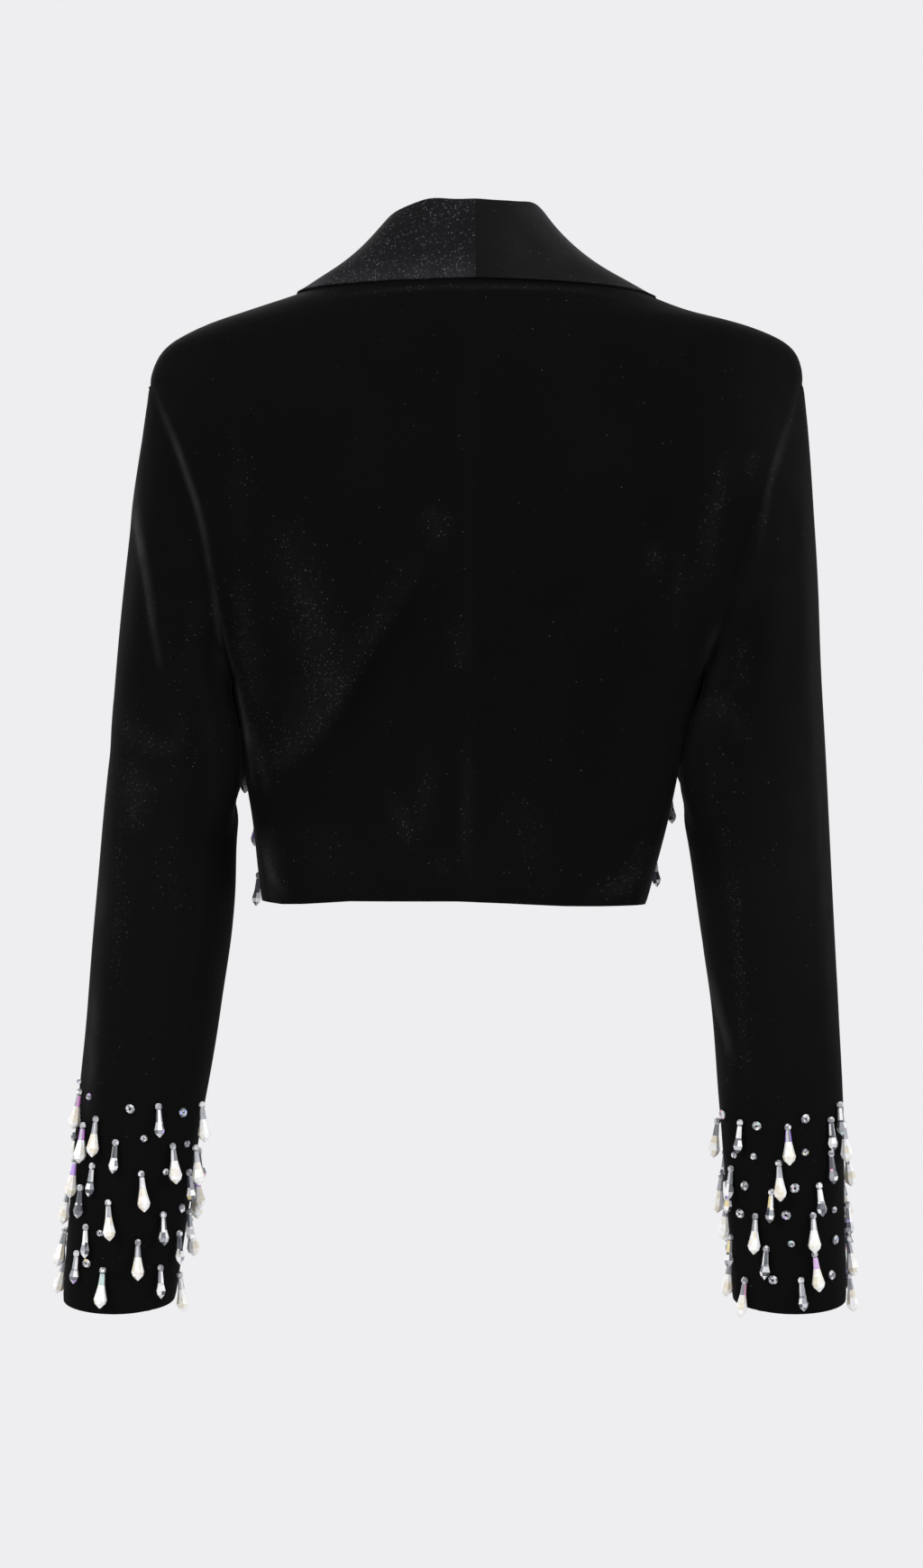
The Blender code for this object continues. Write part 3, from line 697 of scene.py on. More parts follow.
def pointsAlong(points, edges):  # close points along the border of a panel
    starts = points[[a for a, b in edges]]
    ends = points[[b for a, b in edges]]
    shares = np.arange(cloth["seamSteps"]) / cloth["seamSteps"]
    return np.concatenate([starts + (ends - starts) * share for share in shares])


def treeOf(points):
    tree = KDTree(len(points))
    for index, point in enumerate(points):
        tree.insert(point, index)
    tree.balance()
    return tree


def distances(points, targets):  # mm from each point to the nearest target
    if len(targets) == 0:
        return np.full(len(points), np.inf)
    tree = treeOf(targets)
    return np.array([tree.find(p)[2] for p in points]) / mm


def unevenness(points, span):  # soft noise from -1 to 1, with this spacing in mm
    return np.array([noise.noise(Vector(p) / (span * mm)) for p in points])


def roundedPath(path):  # a smooth curve through the points of a path
    knots = np.array(path, float)
    ends = np.vstack([2 * knots[0] - knots[1], knots, 2 * knots[-1] - knots[-2]])
    curve = []
    for a, b, c, d in zip(ends, ends[1:], ends[2:], ends[3:]):
        for t in np.linspace(0, 1, cloth["pathSteps"], endpoint=False):
            curve.append(0.5 * (2 * b + (c - a) * t + (2 * a - 5 * b + 4 * c - d) * t ** 2
                                + (3 * b - a - 3 * c + d) * t ** 3))
    return np.array(curve + [knots[-1]])


def nearPath(path, points):  # distance from the path, how far along it from 0 to 1, distance to its left
    curve = roundedPath(path)
    steps = np.diff(curve, axis=0)
    lengths = np.linalg.norm(steps, axis=1)
    runs = np.concatenate([[0], np.cumsum(lengths)])
    best = np.full(len(points), np.inf)
    place = np.zeros(len(points))
    left = np.zeros(len(points))
    for start, step, length, run in zip(curve, steps, lengths, runs):
        t = np.clip((points - start) @ step / length ** 2, 0, 1)
        away = points - start - t[:, None] * step
        off = np.linalg.norm(away, axis=1)
        nearer = off < best
        best[nearer] = off[nearer]
        place[nearer] = ((run + t * length) / runs[-1])[nearer]
        left[nearer] = ((step[-1] * away[:, 0] - step[0] * away[:, -1]) / length)[nearer]
    return best, place, left


def alongCrease(row, path, points):  # strength from 0 to 1 at each point, and mm to the left of the path
    strength = np.zeros(len(points))
    left = np.zeros(len(points))
    room = cloth["creaseReach"] * row["span"]
    near = np.all((points > np.min(path, axis=0) - room) & (points < np.max(path, axis=0) + room), axis=1)
    if near.any():
        off, place, left[near] = nearPath(path, points[near])
        fade = np.clip(np.sin(np.pi * place), 0, 1) ** cloth["creaseFade"]
        strength[near] = hump(off, row["span"]) * fade
    return strength, left


def throughLens(points):  # across and up in mm, on the upright plane of photoPoint, as the lens sees them
    eye = np.array(lensPlace)
    nearness = eye[1] / (eye[1] - points[:, 1])
    return (eye + (points - eye) * nearness[:, None])[:, [0, 2]] / mm


def creaseField(nodeName, points, normals):  # height in mm, painted sheen and shade, and lone painted glints of the creases
    rise, toneAndSheen, tufts = np.zeros((3, len(points)))
    for side, table in ((1, creasesBack), (-1, creasesFront)):
        facing = np.clip(cloth["facingBase"] + cloth["facingGain"] * side * normals[:, 1], 0, 1)
        flat = throughLens(points) if table is creasesBack else points[:, [0, 2]] / mm
        for row in table:
            if not nodeName.startswith(row["on"]):
                continue
            path = row["path"]
            if table is creasesBack:
                path = [(photoPoint(*pixel).x / mm, photoPoint(*pixel).z / mm) for pixel in path]
            strength, left = alongCrease(row, path, flat)
            strength *= facing
            rise += row["rise"] * strength
            if row["litOn"]:
                strength *= ramp(row["litOn"] * left, -cloth["litEdge"] / 2, cloth["litEdge"] / 2)
            toneAndSheen += row["toneAndSheen"] * strength
            tufts += row["tufts"] * strength
    return rise, toneAndSheen, tufts


def tuckField(points):  # height in mm that the tucks give each point of a sleeve
    return sum(row["rise"] * alongCrease(row, row["path"], points / mm)[0] for row in tucks)


def outFromMiddle(points, sleeve):  # level directions out of a sleeve, alike in both panels
    band = cloth["sleeveBand"] * mm
    heights = np.arange(sleeve[:, 2].min(), sleeve[:, 2].max(), band)
    middles = []
    for height in heights:
        near = sleeve[np.abs(sleeve[:, 2] - height) < band]
        middles.append((near.min(axis=0) + near.max(axis=0)) / 2)
    away = points.copy()
    for axis in (0, 1):
        away[:, axis] -= np.interp(points[:, 2], heights, [middle[axis] for middle in middles])
    away[:, 2] = 0
    return away / np.linalg.norm(away, axis=1)[:, None]


def tuckSleeve(nodeName, points, borders, stitched):  # how far the tucks move each point of a panel
    side = sideOf(nodeName)
    own = points[nodeName]
    sleeve = np.concatenate([points["sleeve_upper_" + side], points["sleeve_under_" + side]])
    body = treeOf(np.concatenate([borders["back_" + side], borders["front_" + side]]))
    armhole = [v for v in stitched if body.find(own[v])[2] < cloth["sewnWithin"] * mm]
    free = 1 - hump(distances(own, own[armhole]), cloth["tuckHold"])
    return outFromMiddle(own, sleeve) * (tuckField(own) * free * mm)[:, None]


# the tone of a collar half, with painted sheen along its edge and roll and a painted rim where it turns to
# the side
def collarToneAndSheen(points, normals, toEdge, side):
    x = points[:, 0] / mm
    z = points[:, 2] / mm
    row = collarSheen[side]
    if side == "left":
        more = 1 + row["edgeMore"] * hump(x - row["edgeMoreAt"], row["edgeMoreSpan"])
        toneAndSheen = row["ground"] + row["edge"] * hump(toEdge, row["edgeSpan"]) * more
        toneAndSheen += row["rim"] * ramp(normals[:, 0], row["rimFrom"], row["rimFull"])
        for strength, (across, up), (acrossSpan, upSpan) in row["patches"]:
            toneAndSheen += strength * hump(x - across, acrossSpan) * hump(z - up, upSpan)
        return toneAndSheen
    toneAndSheen = row["away"] * ramp(-x, row["awayFrom"], row["awayFull"])
    toneAndSheen += row["top"] * hump(z - row["topAt"], row["topSpan"])
    return toneAndSheen + row["rim"] * ramp(-normals[:, 0], row["rimFrom"], row["rimFull"]) ** row["rimPower"]


def swayCollar(points):  # the worn collar: its seam a little to one side, the roll's corners square
    x = points[:, 0] / mm
    above = ramp(points[:, 2] / mm, shawl["cornerFrom"], shawl["cornerFull"])
    moved = points.copy()
    sway = shawl["seamSway"] * mm * hump(x, shawl["seamSwaySpan"])
    moved[:, 0] += sway * ramp(points[:, 2], shawl["swayFrom"], shawl["swayFull"])
    for across, half, lift in shawl["corners"]:
        moved[:, 2] += lift * mm * above * hump(x - across, half)
    return moved


def pointLapels(points):  # each lapel runs out to a point on the edge of its front
    low = ramp(points[:, 2], shawl["pointFrom"], shawl["pointTo"]) ** shawl["pointPower"]
    tip = points[points[:, 2] < shawl["pointTo"]].mean(axis=0)
    tip[0] = np.sign(tip[0]) * shawl["pointAt"] * mm
    moved = points.copy()
    moved[:, :2] += (tip[:2] - points[:, :2]) * low[:, None]
    return moved


def dropHem(points):  # the hem hangs lower at the sides
    across, drop = zip(*hem["drop"])
    low = ramp(points[:, 2], hem["from"], hem["full"]) ** 2
    moved = points.copy()
    moved[:, 2] -= np.interp(points[:, 0] / mm, across, drop) * mm * low
    return moved


def seamMates(nodeName):  # panels that may be sewn to this one
    return [n for n in panels if n != nodeName and isCollar(n) == isCollar(nodeName)]


def closeSeams(shaped, edges, sewn):  # the panels meet, and lap a little, in their seams
    borders = {n: treeOf(pointsAlong(shaped[n], edges[n])) for n in panels}
    closed = {}
    for nodeName in panels:
        closed[nodeName] = shaped[nodeName].copy()
        for v in sewn[nodeName]:
            own = Vector(shaped[nodeName][v])
            hits = sorted((borders[n].find(own) for n in seamMates(nodeName)), key=lambda hit: hit[2])
            ways = [hits[0][0] - own]
            ways += [spot - own for spot, _, off in hits[1:2] if off < cloth["cornerGap"] * mm]
            way = sum(ways, Vector()) / (len(ways) + 1)  # to the middle of the two or three that meet
            closed[nodeName][v] += np.array(way + way.normalized() * cloth["seamLap"] * mm)
    return closed


def store(mesh, name, values):  # a number from 0 to 1 at each vertex, for the material
    stored = mesh.attributes.new(name, "FLOAT", "POINT")
    stored.data.foreach_set("value", np.clip(values, 0, 1).astype(np.float32))


# stores the painted glints, and the pile's tone with its painted sheen and shade, for the material
def storePile(nodeName, mesh, points, toneAndSheen, tufts):
    clusters = unevenness(points, cloth["cluster"])
    swing = (shawl if isCollar(nodeName) else cloth)["tuftsSwing"]
    store(mesh, "glints", tufts * (cloth["tuftsMean"] + swing * clusters))
    toneAndSheenShown = toneAndSheen * (cloth["lustreMean"] + cloth["lustreSwing"] * clusters)
    if not isCollar(nodeName):
        low = ramp(points[:, 2], cloth["lowFrom"], cloth["lowTo"])
        toneAndSheenShown += cloth["flatLustre"] + cloth["lowLustre"][nodeName.split("_")[0]] * low
    store(mesh, "toneAndSheen", toneAndSheenShown)


def collarShape(nodeName, points, normals, held, toEdge):  # height in mm, tone with painted sheen, painted glints, wall's share
    ripple = shawl["rippleShare"] * cloth["ripple"] * unevenness(points, cloth["rippleSpan"])
    press = hump(toEdge, shawl["pressSpan"]) * ramp(points[:, 2], shawl["breakFrom"], shawl["breakTo"])
    toneAndSheen = collarToneAndSheen(points, normals, toEdge, sideOf(nodeName))
    wall = 1 - (1 - shawl["wallShare"]) * hump(toEdge, shawl["wallSpan"])
    return held * ripple - shawl["press"] * press, toneAndSheen, toneAndSheen, wall


def panelShape(nodeName, points, normals, held, toEdge):  # the same of a panel of the body or a sleeve
    rise, toneAndSheen, tufts = creaseField(nodeName, points, normals)
    rise += cloth["ripple"] * unevenness(points, cloth["rippleSpan"])
    height = held * rise - cloth["edgeRound"] * hump(toEdge, cloth["edgeSpan"])
    return height, toneAndSheen, tufts, np.ones(len(points))


def makePanels():
    sheets = {n: soften(outerSheet(n)) for n in panels}
    edges = {n: borderEdges(s.data) for n, s in sheets.items()}
    points = {n: coordinates(s.data) for n, s in sheets.items()}
    borders = {n: pointsAlong(points[n], edges[n]) for n in sheets}
    shaped = {}
    sewn = {}
    for nodeName, sheet in sheets.items():
        own = points[nodeName]
        normals = vertexNormals(sheet.data)
        mates = treeOf(np.concatenate([borders[n] for n in seamMates(nodeName)]))
        border = sorted({v for edge in edges[nodeName] for v in edge})
        stitched = [v for v in border if mates.find(own[v])[2] < cloth["sewnWithin"] * mm]
        sewn[nodeName] = stitched
        toSeam = distances(own, own[stitched])
        alongSeam = hump(toSeam, cloth["seamSpan"])
        held = 1 - hump(toSeam, cloth["hold"])
        others = np.concatenate([borders[n] for n in sheets if isCollar(n) != isCollar(nodeName)])
        loose = sorted(set(border) - set(stitched))
        toOthers = distances(own[loose], others)
        toEdge = distances(own, own[[v for v, off in zip(loose, toOthers) if off > cloth["sewnWithin"]]])
        shape = collarShape if isCollar(nodeName) else panelShape
        height, toneAndSheen, tufts, wall = shape(nodeName, own, normals, held, toEdge)
        pucker = 1 + cloth["puckerShare"] * unevenness(own, cloth["seamPucker"])
        dip = cloth["seamDip"] * alongSeam * pucker
        if isCollar(nodeName):
            dip *= shawl["dipShare"]
        else:
            toneAndSheen += cloth["seamLustre"] * alongSeam
        shaped[nodeName] = own + normals * (height - dip)[:, None] * mm
        if isSleeve(nodeName):
            shaped[nodeName] += tuckSleeve(nodeName, points, borders, stitched)
        storePile(nodeName, sheet.data, own, toneAndSheen, tufts)
        group = sheet.vertex_groups.new(name="wallShare")
        for v, share in enumerate(wall):
            group.add([v], share, "REPLACE")
    for nodeName, placed in closeSeams(shaped, edges, sewn).items():
        if isCollar(nodeName):
            placed = pointLapels(swayCollar(placed))
        elif not isSleeve(nodeName):
            placed = dropHem(placed)
        setCoordinates(sheets[nodeName].data, placed)
    print("cloth panels shaped:", ", ".join(s.name for s in sheets.values()))
    return sheets


def thicken(nodeName, sheet, face, back):
    sheet.data.materials.append(face)
    sheet.data.materials.append(back)
    wall = sheet.modifiers.new("clothWall", "SOLIDIFY")
    wall.thickness = (shawl if isCollar(nodeName) else cloth)["wall"] * mm
    wall.offset = -1.0
    wall.use_even_offset = False
    wall.use_quality_normals = True
    wall.vertex_group = "wallShare"
    wall.thickness_vertex_group = 0.0
    wall.material_offset = 1
    choose(sheet)
    bpy.ops.object.modifier_apply(modifier="clothWall")
    sheet.vertex_groups.clear()
    bpy.ops.object.shade_smooth_by_angle(angle=math.radians(cloth["wallEdge"]))
    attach(sheet, "root")
    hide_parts(nodeName)


# Crystal drops and beads, each sewn on by its top bead and hanging free

crystals = {
    "stations": {              # down from the middle of the top bead, radius
        "topBead": [(-2.1, 1.0), (-0.9, 2.1), (0.9, 2.1), (2.1, 1.0)],
        "teardrop": [(2.1, 1.5), (9.2, 2.1), (14.0, 3.1), (18.4, 4.15), (21.0, 3.3), (23.8, 0.4)],
        "slimDrop": [(2.1, 1.5), (9.6, 2.0), (11.0, 2.3), (14.6, 3.2), (17.0, 2.5), (19.4, 0.3)],
    },
    "sides": {"topBead": 6, "teardrop": 8, "slimDrop": 6},
    "whiteBelow": {"teardrop": 9.5},         # where the foil starts, down from the bead
    "rings": {"roundBead": (1.95, 1.2), "smallBead": (1.35, 1.0)},  # ring and wire radius
    "ringSides": (8, 5),                     # round the ring, round the wire
    "ringStretch": 1.15,                     # a bead is this much longer along its hole
    "ringTilt": 0.25,                        # how far a bead may lie askew
    "ringLift": 1.05,                        # wire radii from the cloth to the middle of a bead
    "reach": {"teardrop": 24, "slimDrop": 19.5, "roundBead": 3.2, "smallBead": 2.4},  # below the bead
    "belly": {"teardrop": (18.4, 4.2), "slimDrop": (14.6, 3.2)},  # down from the bead, off the cloth
    "beadOff": 2.1,            # from the cloth to the middle of the top bead
    "lean": 5.0,               # degrees, how far a drop may hang askew
    "below": 2.5,              # a drop may reach this far below the edge of the cloth
    "apart": (8.5, 15.0),      # least room across and down between two scattered drops
    "edgeApart": (5.0, 11.0),  # the same along the outline of a cuff
    "edgeFacing": 0.35,        # cloth that faces the lens less than this is at the outline
    "edgeDepths": (0, 7, -8, 11, -4, -14),  # from the middle of the sleeve, tried in turn there
    "aimTurns": 3,             # rounds of aiming at a photo pixel
    "tries": 6000,             # places tried at random
    "seed": 41,
    "sortDigits": 3,           # decimals of a millimetre that tell two facets apart
}
mixOfKinds = ["teardrop"] * 7 + ["slimDrop"] * 8 + ["roundBead"] * 5 + ["smallBead"] * 5

# Top beads in photo pixels, those on the face of each cuff first, then those along its outline
cuffs = {
    "left": {
        "teardrop": [(106, 1242), (192, 1272), (157, 1303), (120, 1335), (153, 1379), (114, 1410),
                     (88, 1212), (92, 1249), (83, 1288), (75, 1318), (72, 1365), (67, 1395), (224, 1226),
                     (217, 1274), (216, 1354), (201, 1415)],
        "slimDrop": [(176, 1228), (128, 1268), (102, 1294), (181, 1348), (95, 1362), (178, 1407),
                     (199, 1369), (89, 1318), (85, 1391), (222, 1277), (210, 1301), (212, 1345)],
        "roundBead": [(144, 1231), (204, 1235), (203, 1341), (95, 1402), (83, 1236), (81, 1261)],
        "smallBead": [(160, 1264), (209, 1270), (110, 1369), (97, 1217), (185, 1301), (86, 1200)],
    },
    "right": {
        "teardrop": [(874, 1251), (864, 1291), (838, 1350), (902, 1349), (904, 1392), (826, 1421),
                     (797, 1244), (806, 1334), (810, 1398), (936, 1248), (938, 1276), (938, 1311),
                     (940, 1375), (940, 1415)],
        "slimDrop": [(821, 1246), (922, 1243), (922, 1280), (856, 1323), (909, 1316), (850, 1386),
                     (889, 1421), (811, 1297), (809, 1313), (810, 1373), (932, 1226), (940, 1337),
                     (939, 1354)],
        "roundBead": [(839, 1250), (894, 1242), (825, 1316), (882, 1319), (820, 1347), (872, 1349),
                      (928, 1376), (857, 1421), (924, 1415), (800, 1237), (812, 1385)],
        "smallBead": [(813, 1282), (835, 1284), (894, 1279), (927, 1343), (878, 1381), (926, 1308)],
    },
}

# Drops of the fronts that show past side or hem: photo pixel of the top bead, mm before the neck base
peeping = {
    "left": [((279, 846), 26), ((288, 905), 28), ((291, 971), 16), ((318, 969), 50)],
    "right": [((741, 880), 28), ((724, 950), 27)],
}
scatter = {  # heights in metres
    "cuffLeft": {"from": -0.528, "to": -0.655, "count": 30},
    "cuffRight": {"from": -0.536, "to": -0.655, "count": 30},
    "frontLeft": {"from": -0.302, "to": -0.390, "count": 40},
    "frontRight": {"from": -0.302, "to": -0.390, "count": 40},
}
hiddenSide = {
    "cuffFacing": -0.05,       # cuff cloth that faces the lens less than this is scattered at random
    "frontBefore": -0.048,     # metres, the fronts' scatter stays this far before the neck base
    "frontFrom": 0.014,        # metres, and this far from the opening
}
cuffAxis = {  # heights in metres at which the middle of a cuff is found
    "from": -0.50,
    "to": -0.69,
    "step": -0.01,
    "band": 4,                 # half the height of the band that is looked at
}
# colours that paint the reflections of each facet: blazing white, grey and dark facets, the white foil's
# own tone among them, and the coat's colours
facetReflections = {
    "topBead": ["#7E8086", "#A6A8AD", "#C9CACD", "#F1F1F3"],
    "ring": ["#606268", "#86888E", "#ABADB2", "#D2D3D7", "#F4F4F6"],
    "neck": ["#83868C", "#A8AAB0", "#CDCFD3", "#F2F2F4"],
    "white": ["#FFFFFF", "#FFFFFF", "#FCFAF5", "#F6F2E8", "#EFE6D2"],
    "slimDrop": ["#4A4D54", "#6E7178", "#9EA1A8", "#D3D5D9", "#FFFFFF", "#FFFFFF"],
    "coat": ["#C9A4F0", "#F2B3D6", "#A9B8F2", "#F3E2A8", "#BFE6DA"],
}
coatShare = {"drop": 0.12, "neckFacet": 0.6, "otherFacet": 0.05}
coatsSeen = {  # drops whose coat shows as a painted reflection colour, by the photo pixel of the top bead
    (88, 1212): "#E79BE0", (92, 1249): "#D98BEA", (874, 1251): "#B98BF2", (806, 1334): "#F0A0C8",
    (940, 1337): "#B7A2F0", (904, 1392): "#D9B4E6",
}


def turnStations(stations, sides):  # a cut solid through its stations, in edit mode
    down, radius = stations[0]
    bpy.ops.mesh.select_all(action="DESELECT")
    bpy.ops.mesh.primitive_circle_add(vertices=sides, radius=radius * mm, fill_type="NGON",
                                      location=(0, 0, -down * mm))
    for nextDown, nextRadius in stations[1:]:
        bpy.ops.mesh.extrude_region_move(TRANSFORM_OT_translate={"value": (0, 0, (down - nextDown) * mm)})
        grow = nextRadius / radius
        bpy.ops.transform.resize(value=(grow, grow, 1), center_override=(0, 0, -nextDown * mm))
        down, radius = nextDown, nextRadius


def modelDrop(kind):  # top bead and drop, hanging down from the origin
    deselectAll()
    bpy.ops.mesh.primitive_circle_add(vertices=3, radius=mm)
    drop = bpy.context.object
    drop.name = kind
    setMode("EDIT")
    bpy.ops.mesh.delete(type="VERT")
    for part in ("topBead", kind):
        turnStations(crystals["stations"][part], crystals["sides"][part])
    bpy.ops.mesh.select_all(action="SELECT")
    bpy.ops.mesh.normals_make_consistent(inside=False)
    setMode("OBJECT")
    for face in drop.data.polygons:
        foiled = -face.center.z / mm > crystals["whiteBelow"].get(kind, math.inf)
        face.material_index = 0 if foiled else 1
    return drop


def modelRing(kind):  # a faceted round bead, its hole facing out
    ring, wire = crystals["rings"][kind]
    aroundRing, aroundWire = crystals["ringSides"]
    deselectAll()
    bpy.ops.mesh.primitive_torus_add(major_radius=ring * mm, minor_radius=wire * mm,
                                     major_segments=aroundRing, minor_segments=aroundWire)
    bead = bpy.context.object
    bead.name = kind
    setMode("EDIT")
    bpy.ops.mesh.select_all(action="SELECT")
    bpy.ops.transform.resize(value=(1, 1, crystals["ringStretch"]), center_override=(0, 0, 0))
    setMode("OBJECT")
    for face in bead.data.polygons:
        face.material_index = 1
    return bead


def steadyFacets(mesh):  # extruding leaves the facets of a level in any order, so they are sorted
    digits = crystals["sortDigits"]
    levelOf = lambda face: (round(face.center.z / mm, digits), len(face.vertices))
    levels = {}
    for face in mesh.polygons:
        levels.setdefault(levelOf(face), []).append(face)
    for level in levels.values():
        level.sort(key=lambda face: [round(c / mm, digits) for c in face.center.xy])
    return [levels[levelOf(face)].pop(0) for face in mesh.polygons]


def paintFacetReflections(mesh, kind, coatSeen, dice):
    coated = dice.random() < coatShare["drop"] or coatSeen
    coat = coatSeen or dice.choice(facetReflections["coat"])
    layer = mesh.color_attributes.new("facet", "FLOAT_COLOR", "CORNER")
    for face in steadyFacets(mesh):
        if kind in crystals["rings"]:
            shades = facetReflections["ring"]
        elif -face.center.z / mm < crystals["beadOff"]:
            shades = facetReflections["topBead"]
        elif face.material_index == 0:
            shades = facetReflections["white"]
        else:
            shades = facetReflections["neck" if kind == "teardrop" else "slimDrop"]
        colour = linear(dice.choice(shades))
        if coated and shades is facetReflections["neck"] and dice.random() < coatShare["neckFacet"]:
            colour = linear(coat)
        if shades in (facetReflections["ring"], facetReflections["slimDrop"]) and dice.random() < coatShare["otherFacet"]:
            colour = linear(coat)
        for corner in face.loop_indices:
            layer.data[corner].color = colour


def lieOnCloth(kind, spot, outward, dice):  # how a round bead is turned and placed
    ring, wire = crystals["rings"][kind]
    askew = Vector((dice.uniform(-1, 1), dice.uniform(-1, 1), dice.uniform(-1, 1)))
    turn = (outward + askew * crystals["ringTilt"]).to_track_quat("Z", "Y").to_matrix().to_4x4()
    return Matrix.Translation(spot + outward * wire * crystals["ringLift"] * mm) @ turn


def hangFree(kind, spot, outward, lean):  # how a drop is turned and placed
    bellyDown, bellyOff = crystals["belly"][kind]
    beadOff = crystals["beadOff"]
    fall = Vector((0, 0, -1))
    if outward.z > 0:  # the cloth leans out below, so the drop lies along it
        fall = (fall - outward * fall.dot(outward)).normalized()
    flat = (outward - fall * outward.dot(fall)).normalized()
    fall = (fall + flat * (bellyOff - beadOff) / bellyDown).normalized()
    fall = Matrix.Rotation(lean, 3, flat) @ fall
    side = fall.cross(flat).normalized()
    front = side.cross(fall).normalized()
    turn = Matrix((side, front, -fall)).transposed().to_4x4()
    return Matrix.Translation(spot + outward * beadOff * mm) @ turn


def sewOn(model, kind, spot, outward, coatSeen, dice):
    lean = math.radians(dice.uniform(-crystals["lean"], crystals["lean"]))
    spin = Matrix.Rotation(dice.uniform(0, 2 * math.pi), 4, "Z")
    if kind in crystals["rings"]:
        place = lieOnCloth(kind, spot, outward, dice)
    else:
        place = hangFree(kind, spot, outward, lean)
    hung = bpy.data.objects.new(kind, model.data.copy())
    bpy.context.scene.collection.objects.link(hung)
    paintFacetReflections(hung.data, kind, coatSeen, dice)
    hung.data.transform(place @ spin)
    return hung


def bvhOf(sheets):
    vertices = []
    faces = []
    for sheet in sheets:
        start = len(vertices)
        vertices += [v.co.copy() for v in sheet.data.vertices]
        faces += [[start + v for v in face.vertices] for face in sheet.data.polygons]
    return BVHTree.FromPolygons(vertices, faces)


def photoRay(px, py, depth):  # the point behind a photo pixel at a depth in metres
    eye = Vector(lensPlace)
    return eye + (photoPoint(px, py) - eye) * (eye.y - depth) / eye.y


def photoPixel(point):  # the photo pixel that shows a point
    wide, high = view["imageSize"]
    nearness = view["distance"] / (view["distance"] - point.y) / view["metresPerPixel"]
    return Vector((wide / 2 - (point.x - view["across"]) * nearness,
                   high / 2 - (point.z - view["height"]) * nearness))


def clearOf(spot, taken, apart):
    across, down = apart
    for other in taken:
        gap = spot - other
        if (gap.xy.length / (across * mm)) ** 2 + (gap.z / (down * mm)) ** 2 < 1:
            return False
    return True


def spotFromPhoto(surface, px, py, axisOf, taken):
    eye = Vector(lensPlace)
    wanted = Vector((px, py))
    aim = wanted
    for turn in range(crystals["aimTurns"]):  # until the bead, which stands off the cloth, is at its pixel
        spot, normal, _, _ = surface.ray_cast(eye, (photoPoint(*aim) - eye).normalized())
        if spot is None:
            break
        aim = aim + wanted - photoPixel(spot + normal * crystals["beadOff"] * mm)
    if spot and (normal.y > crystals["edgeFacing"] or clearOf(spot, taken, crystals["edgeApart"])):
        return spot, normal
    middle = axisOf(photoPoint(px, py).z)[1]
    depths = crystals["edgeDepths"]
    first = len(taken) % len(depths)
    for depth in depths[first:] + depths[:first]:  # along the outline, where there is room for it
        spot, normal, _, _ = surface.find_nearest(photoRay(px, py, middle + depth * mm))
        if clearOf(spot, taken, crystals["edgeApart"]):
            break
    return spot, normal


def spotRound(surface, axis, angle, height):  # seen from the axis, so the normal is turned outwards
    out = Vector((math.cos(angle), -math.sin(angle), 0))
    spot, normal, _, _ = surface.ray_cast(Vector((axis[0], axis[1], height)), out)
    if spot and normal.dot(out) < 0:
        normal = -normal
    return spot, normal


def scatterSpots(surface, row, axisOf, allowed, taken, dice):
    found = []
    for attempt in range(crystals["tries"]):
        if len(found) == row["count"]:
            break
        height = dice.uniform(row["to"], row["from"])
        angle = dice.uniform(0, 2 * math.pi)
        kind = dice.choice(mixOfKinds)
        spot, normal = spotRound(surface, axisOf(height), angle, height)
        if spot is None or not allowed(spot, normal) or not clearOf(spot, taken, crystals["apart"]):
            continue
        lowest = height - (crystals["reach"][kind] - crystals["below"]) * mm
        if spotRound(surface, axisOf(lowest), angle, lowest)[0] is None:
            continue
        taken.append(spot)
        found.append((kind, spot, normal, None))
    return found


def middlesOf(sleeve):  # middle of a cuff, across and to the back, by height
    band = cuffAxis["band"] * mm
    middles = {}
    for height in np.arange(cuffAxis["from"], cuffAxis["to"], cuffAxis["step"]):
        near = [[v.co for v in s.data.vertices if abs(v.co.z - height) < band] for s in sleeve]
        if near[0]:
            xs = [p.x for panel in near for p in panel]
            ys = [p.y for panel in near for p in panel]
            middles[round(height, 3)] = (min(xs) + max(xs)) / 2, (min(ys) + max(ys)) / 2
    return middles


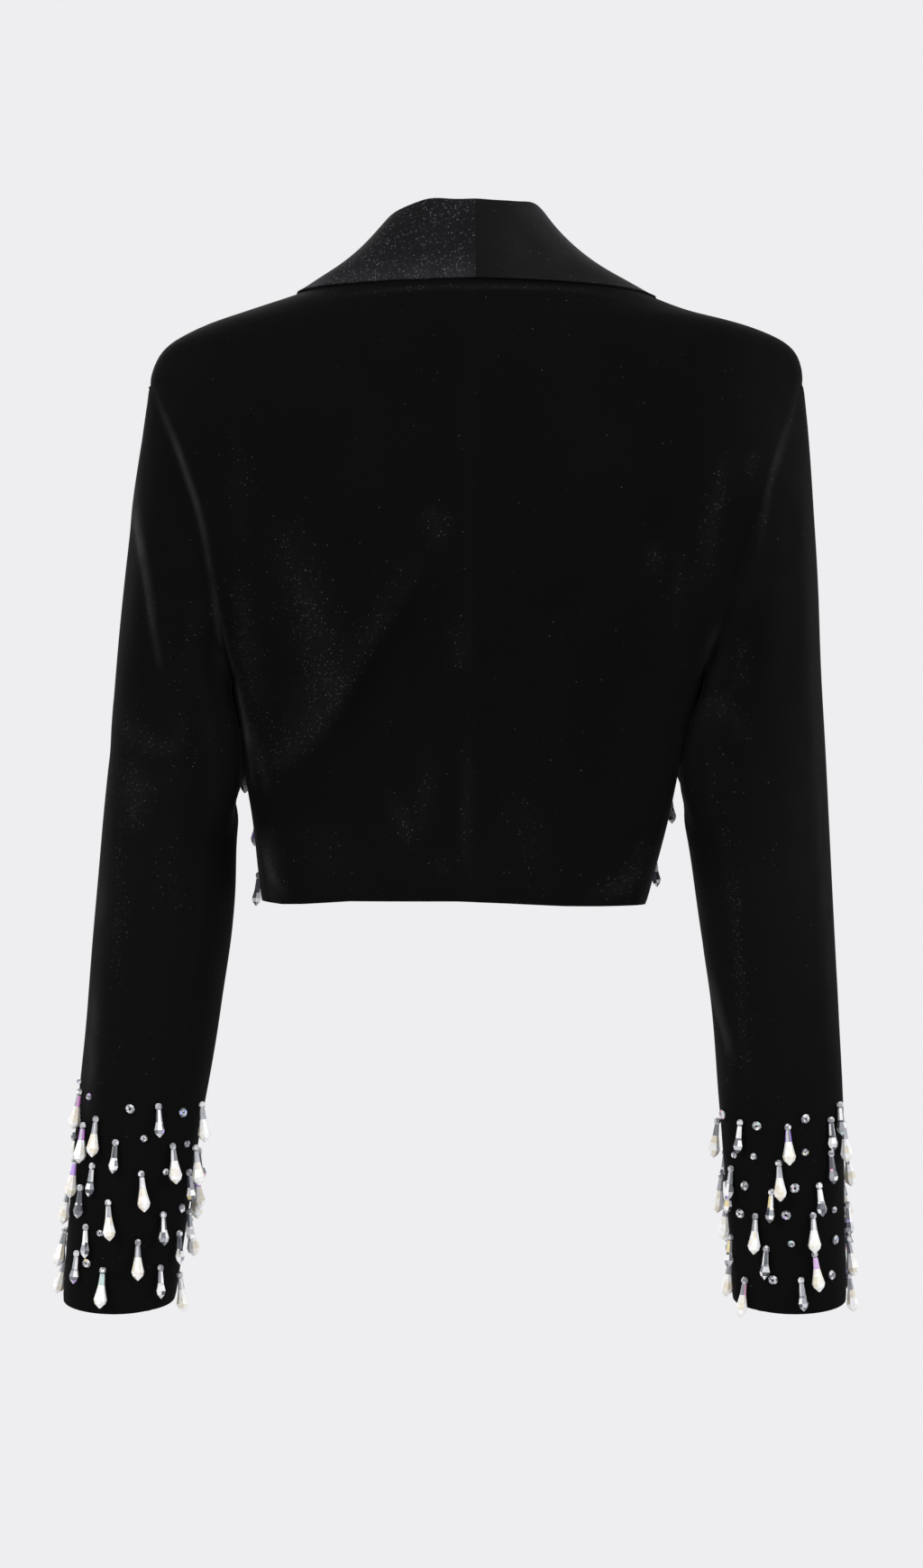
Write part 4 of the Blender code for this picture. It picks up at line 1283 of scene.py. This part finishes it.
def cuffSpots(sleeve, side, dice):
    surface = bvhOf(sleeve)
    middles = middlesOf(sleeve)
    axisOf = lambda h: middles[min(middles, key=lambda k: abs(k - h))]
    spots = []
    taken = []
    for kind, pixels in cuffs[side].items():
        for pixel in pixels:
            spot, normal = spotFromPhoto(surface, *pixel, axisOf, taken)
            spots.append((kind, spot, normal, coatsSeen.get(pixel)))
            taken.append(spot)
    row = scatter["cuff" + side.capitalize()]
    hidden = lambda spot, normal: normal.y < hiddenSide["cuffFacing"]
    return spots + scatterSpots(surface, row, axisOf, hidden, taken, dice)


def frontSpots(front, side, dice):
    surface = bvhOf([front])
    spots = []
    for pixel, depth in peeping[side]:
        spot, normal, _, _ = surface.find_nearest(photoRay(*pixel, -depth * mm))
        spots.append(("slimDrop", spot, normal, None))
    taken = [row[1] for row in spots]
    row = scatter["front" + side.capitalize()]
    inFront = lambda spot, normal: (spot.y < hiddenSide["frontBefore"]
                                    and abs(spot.x) > hiddenSide["frontFrom"])
    return spots + scatterSpots(surface, row, lambda h: (0, 0), inFront, taken, dice)


def sewCrystals(name, spots, models, finishes, dice):
    hung = [sewOn(models[kind], kind, spot, normal, coat, dice) for kind, spot, normal, coat in spots]
    trim = hung[0]
    choose(trim)
    for drop in hung:
        drop.select_set(True)
    bpy.ops.object.join()
    trim.name = trim.data.name = name
    for finish in finishes:
        trim.data.materials.append(finish)
    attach(trim, "root")
    print(name, "has", len(spots), "drops and beads,", len(trim.data.polygons), "facetReflections")


def makeCrystals(sheets):
    finishes = [makeCrystal(name) for name in glass]
    dice = random.Random(crystals["seed"])
    models = {kind: modelDrop(kind) for kind in ("teardrop", "slimDrop")}
    models.update({kind: modelRing(kind) for kind in crystals["rings"]})
    for side in ("left", "right"):
        sleeve = [sheets["sleeve_upper_" + side], sheets["sleeve_under_" + side]]
        spots = cuffSpots(sleeve, side, dice)
        sewCrystals("crystalsCuff" + side.capitalize(), spots, models, finishes, dice)
        spots = frontSpots(sheets["front_" + side], side, dice)
        sewCrystals("crystalsFront" + side.capitalize(), spots, models, finishes, dice)
    for model in models.values():
        bpy.data.objects.remove(model)


# Making

setCamera()
setStudio()
sheets = makePanels()
makeCrystals(sheets)
velvetFaces = {name: makeVelvet(name) for name in velvets}
backing = makeBacking()
for nodeName, sheet in sheets.items():
    thicken(nodeName, sheet, velvetFaces[velvetOf.get(nodeName, velvetElsewhere)], backing)
print("cloth walls finished")
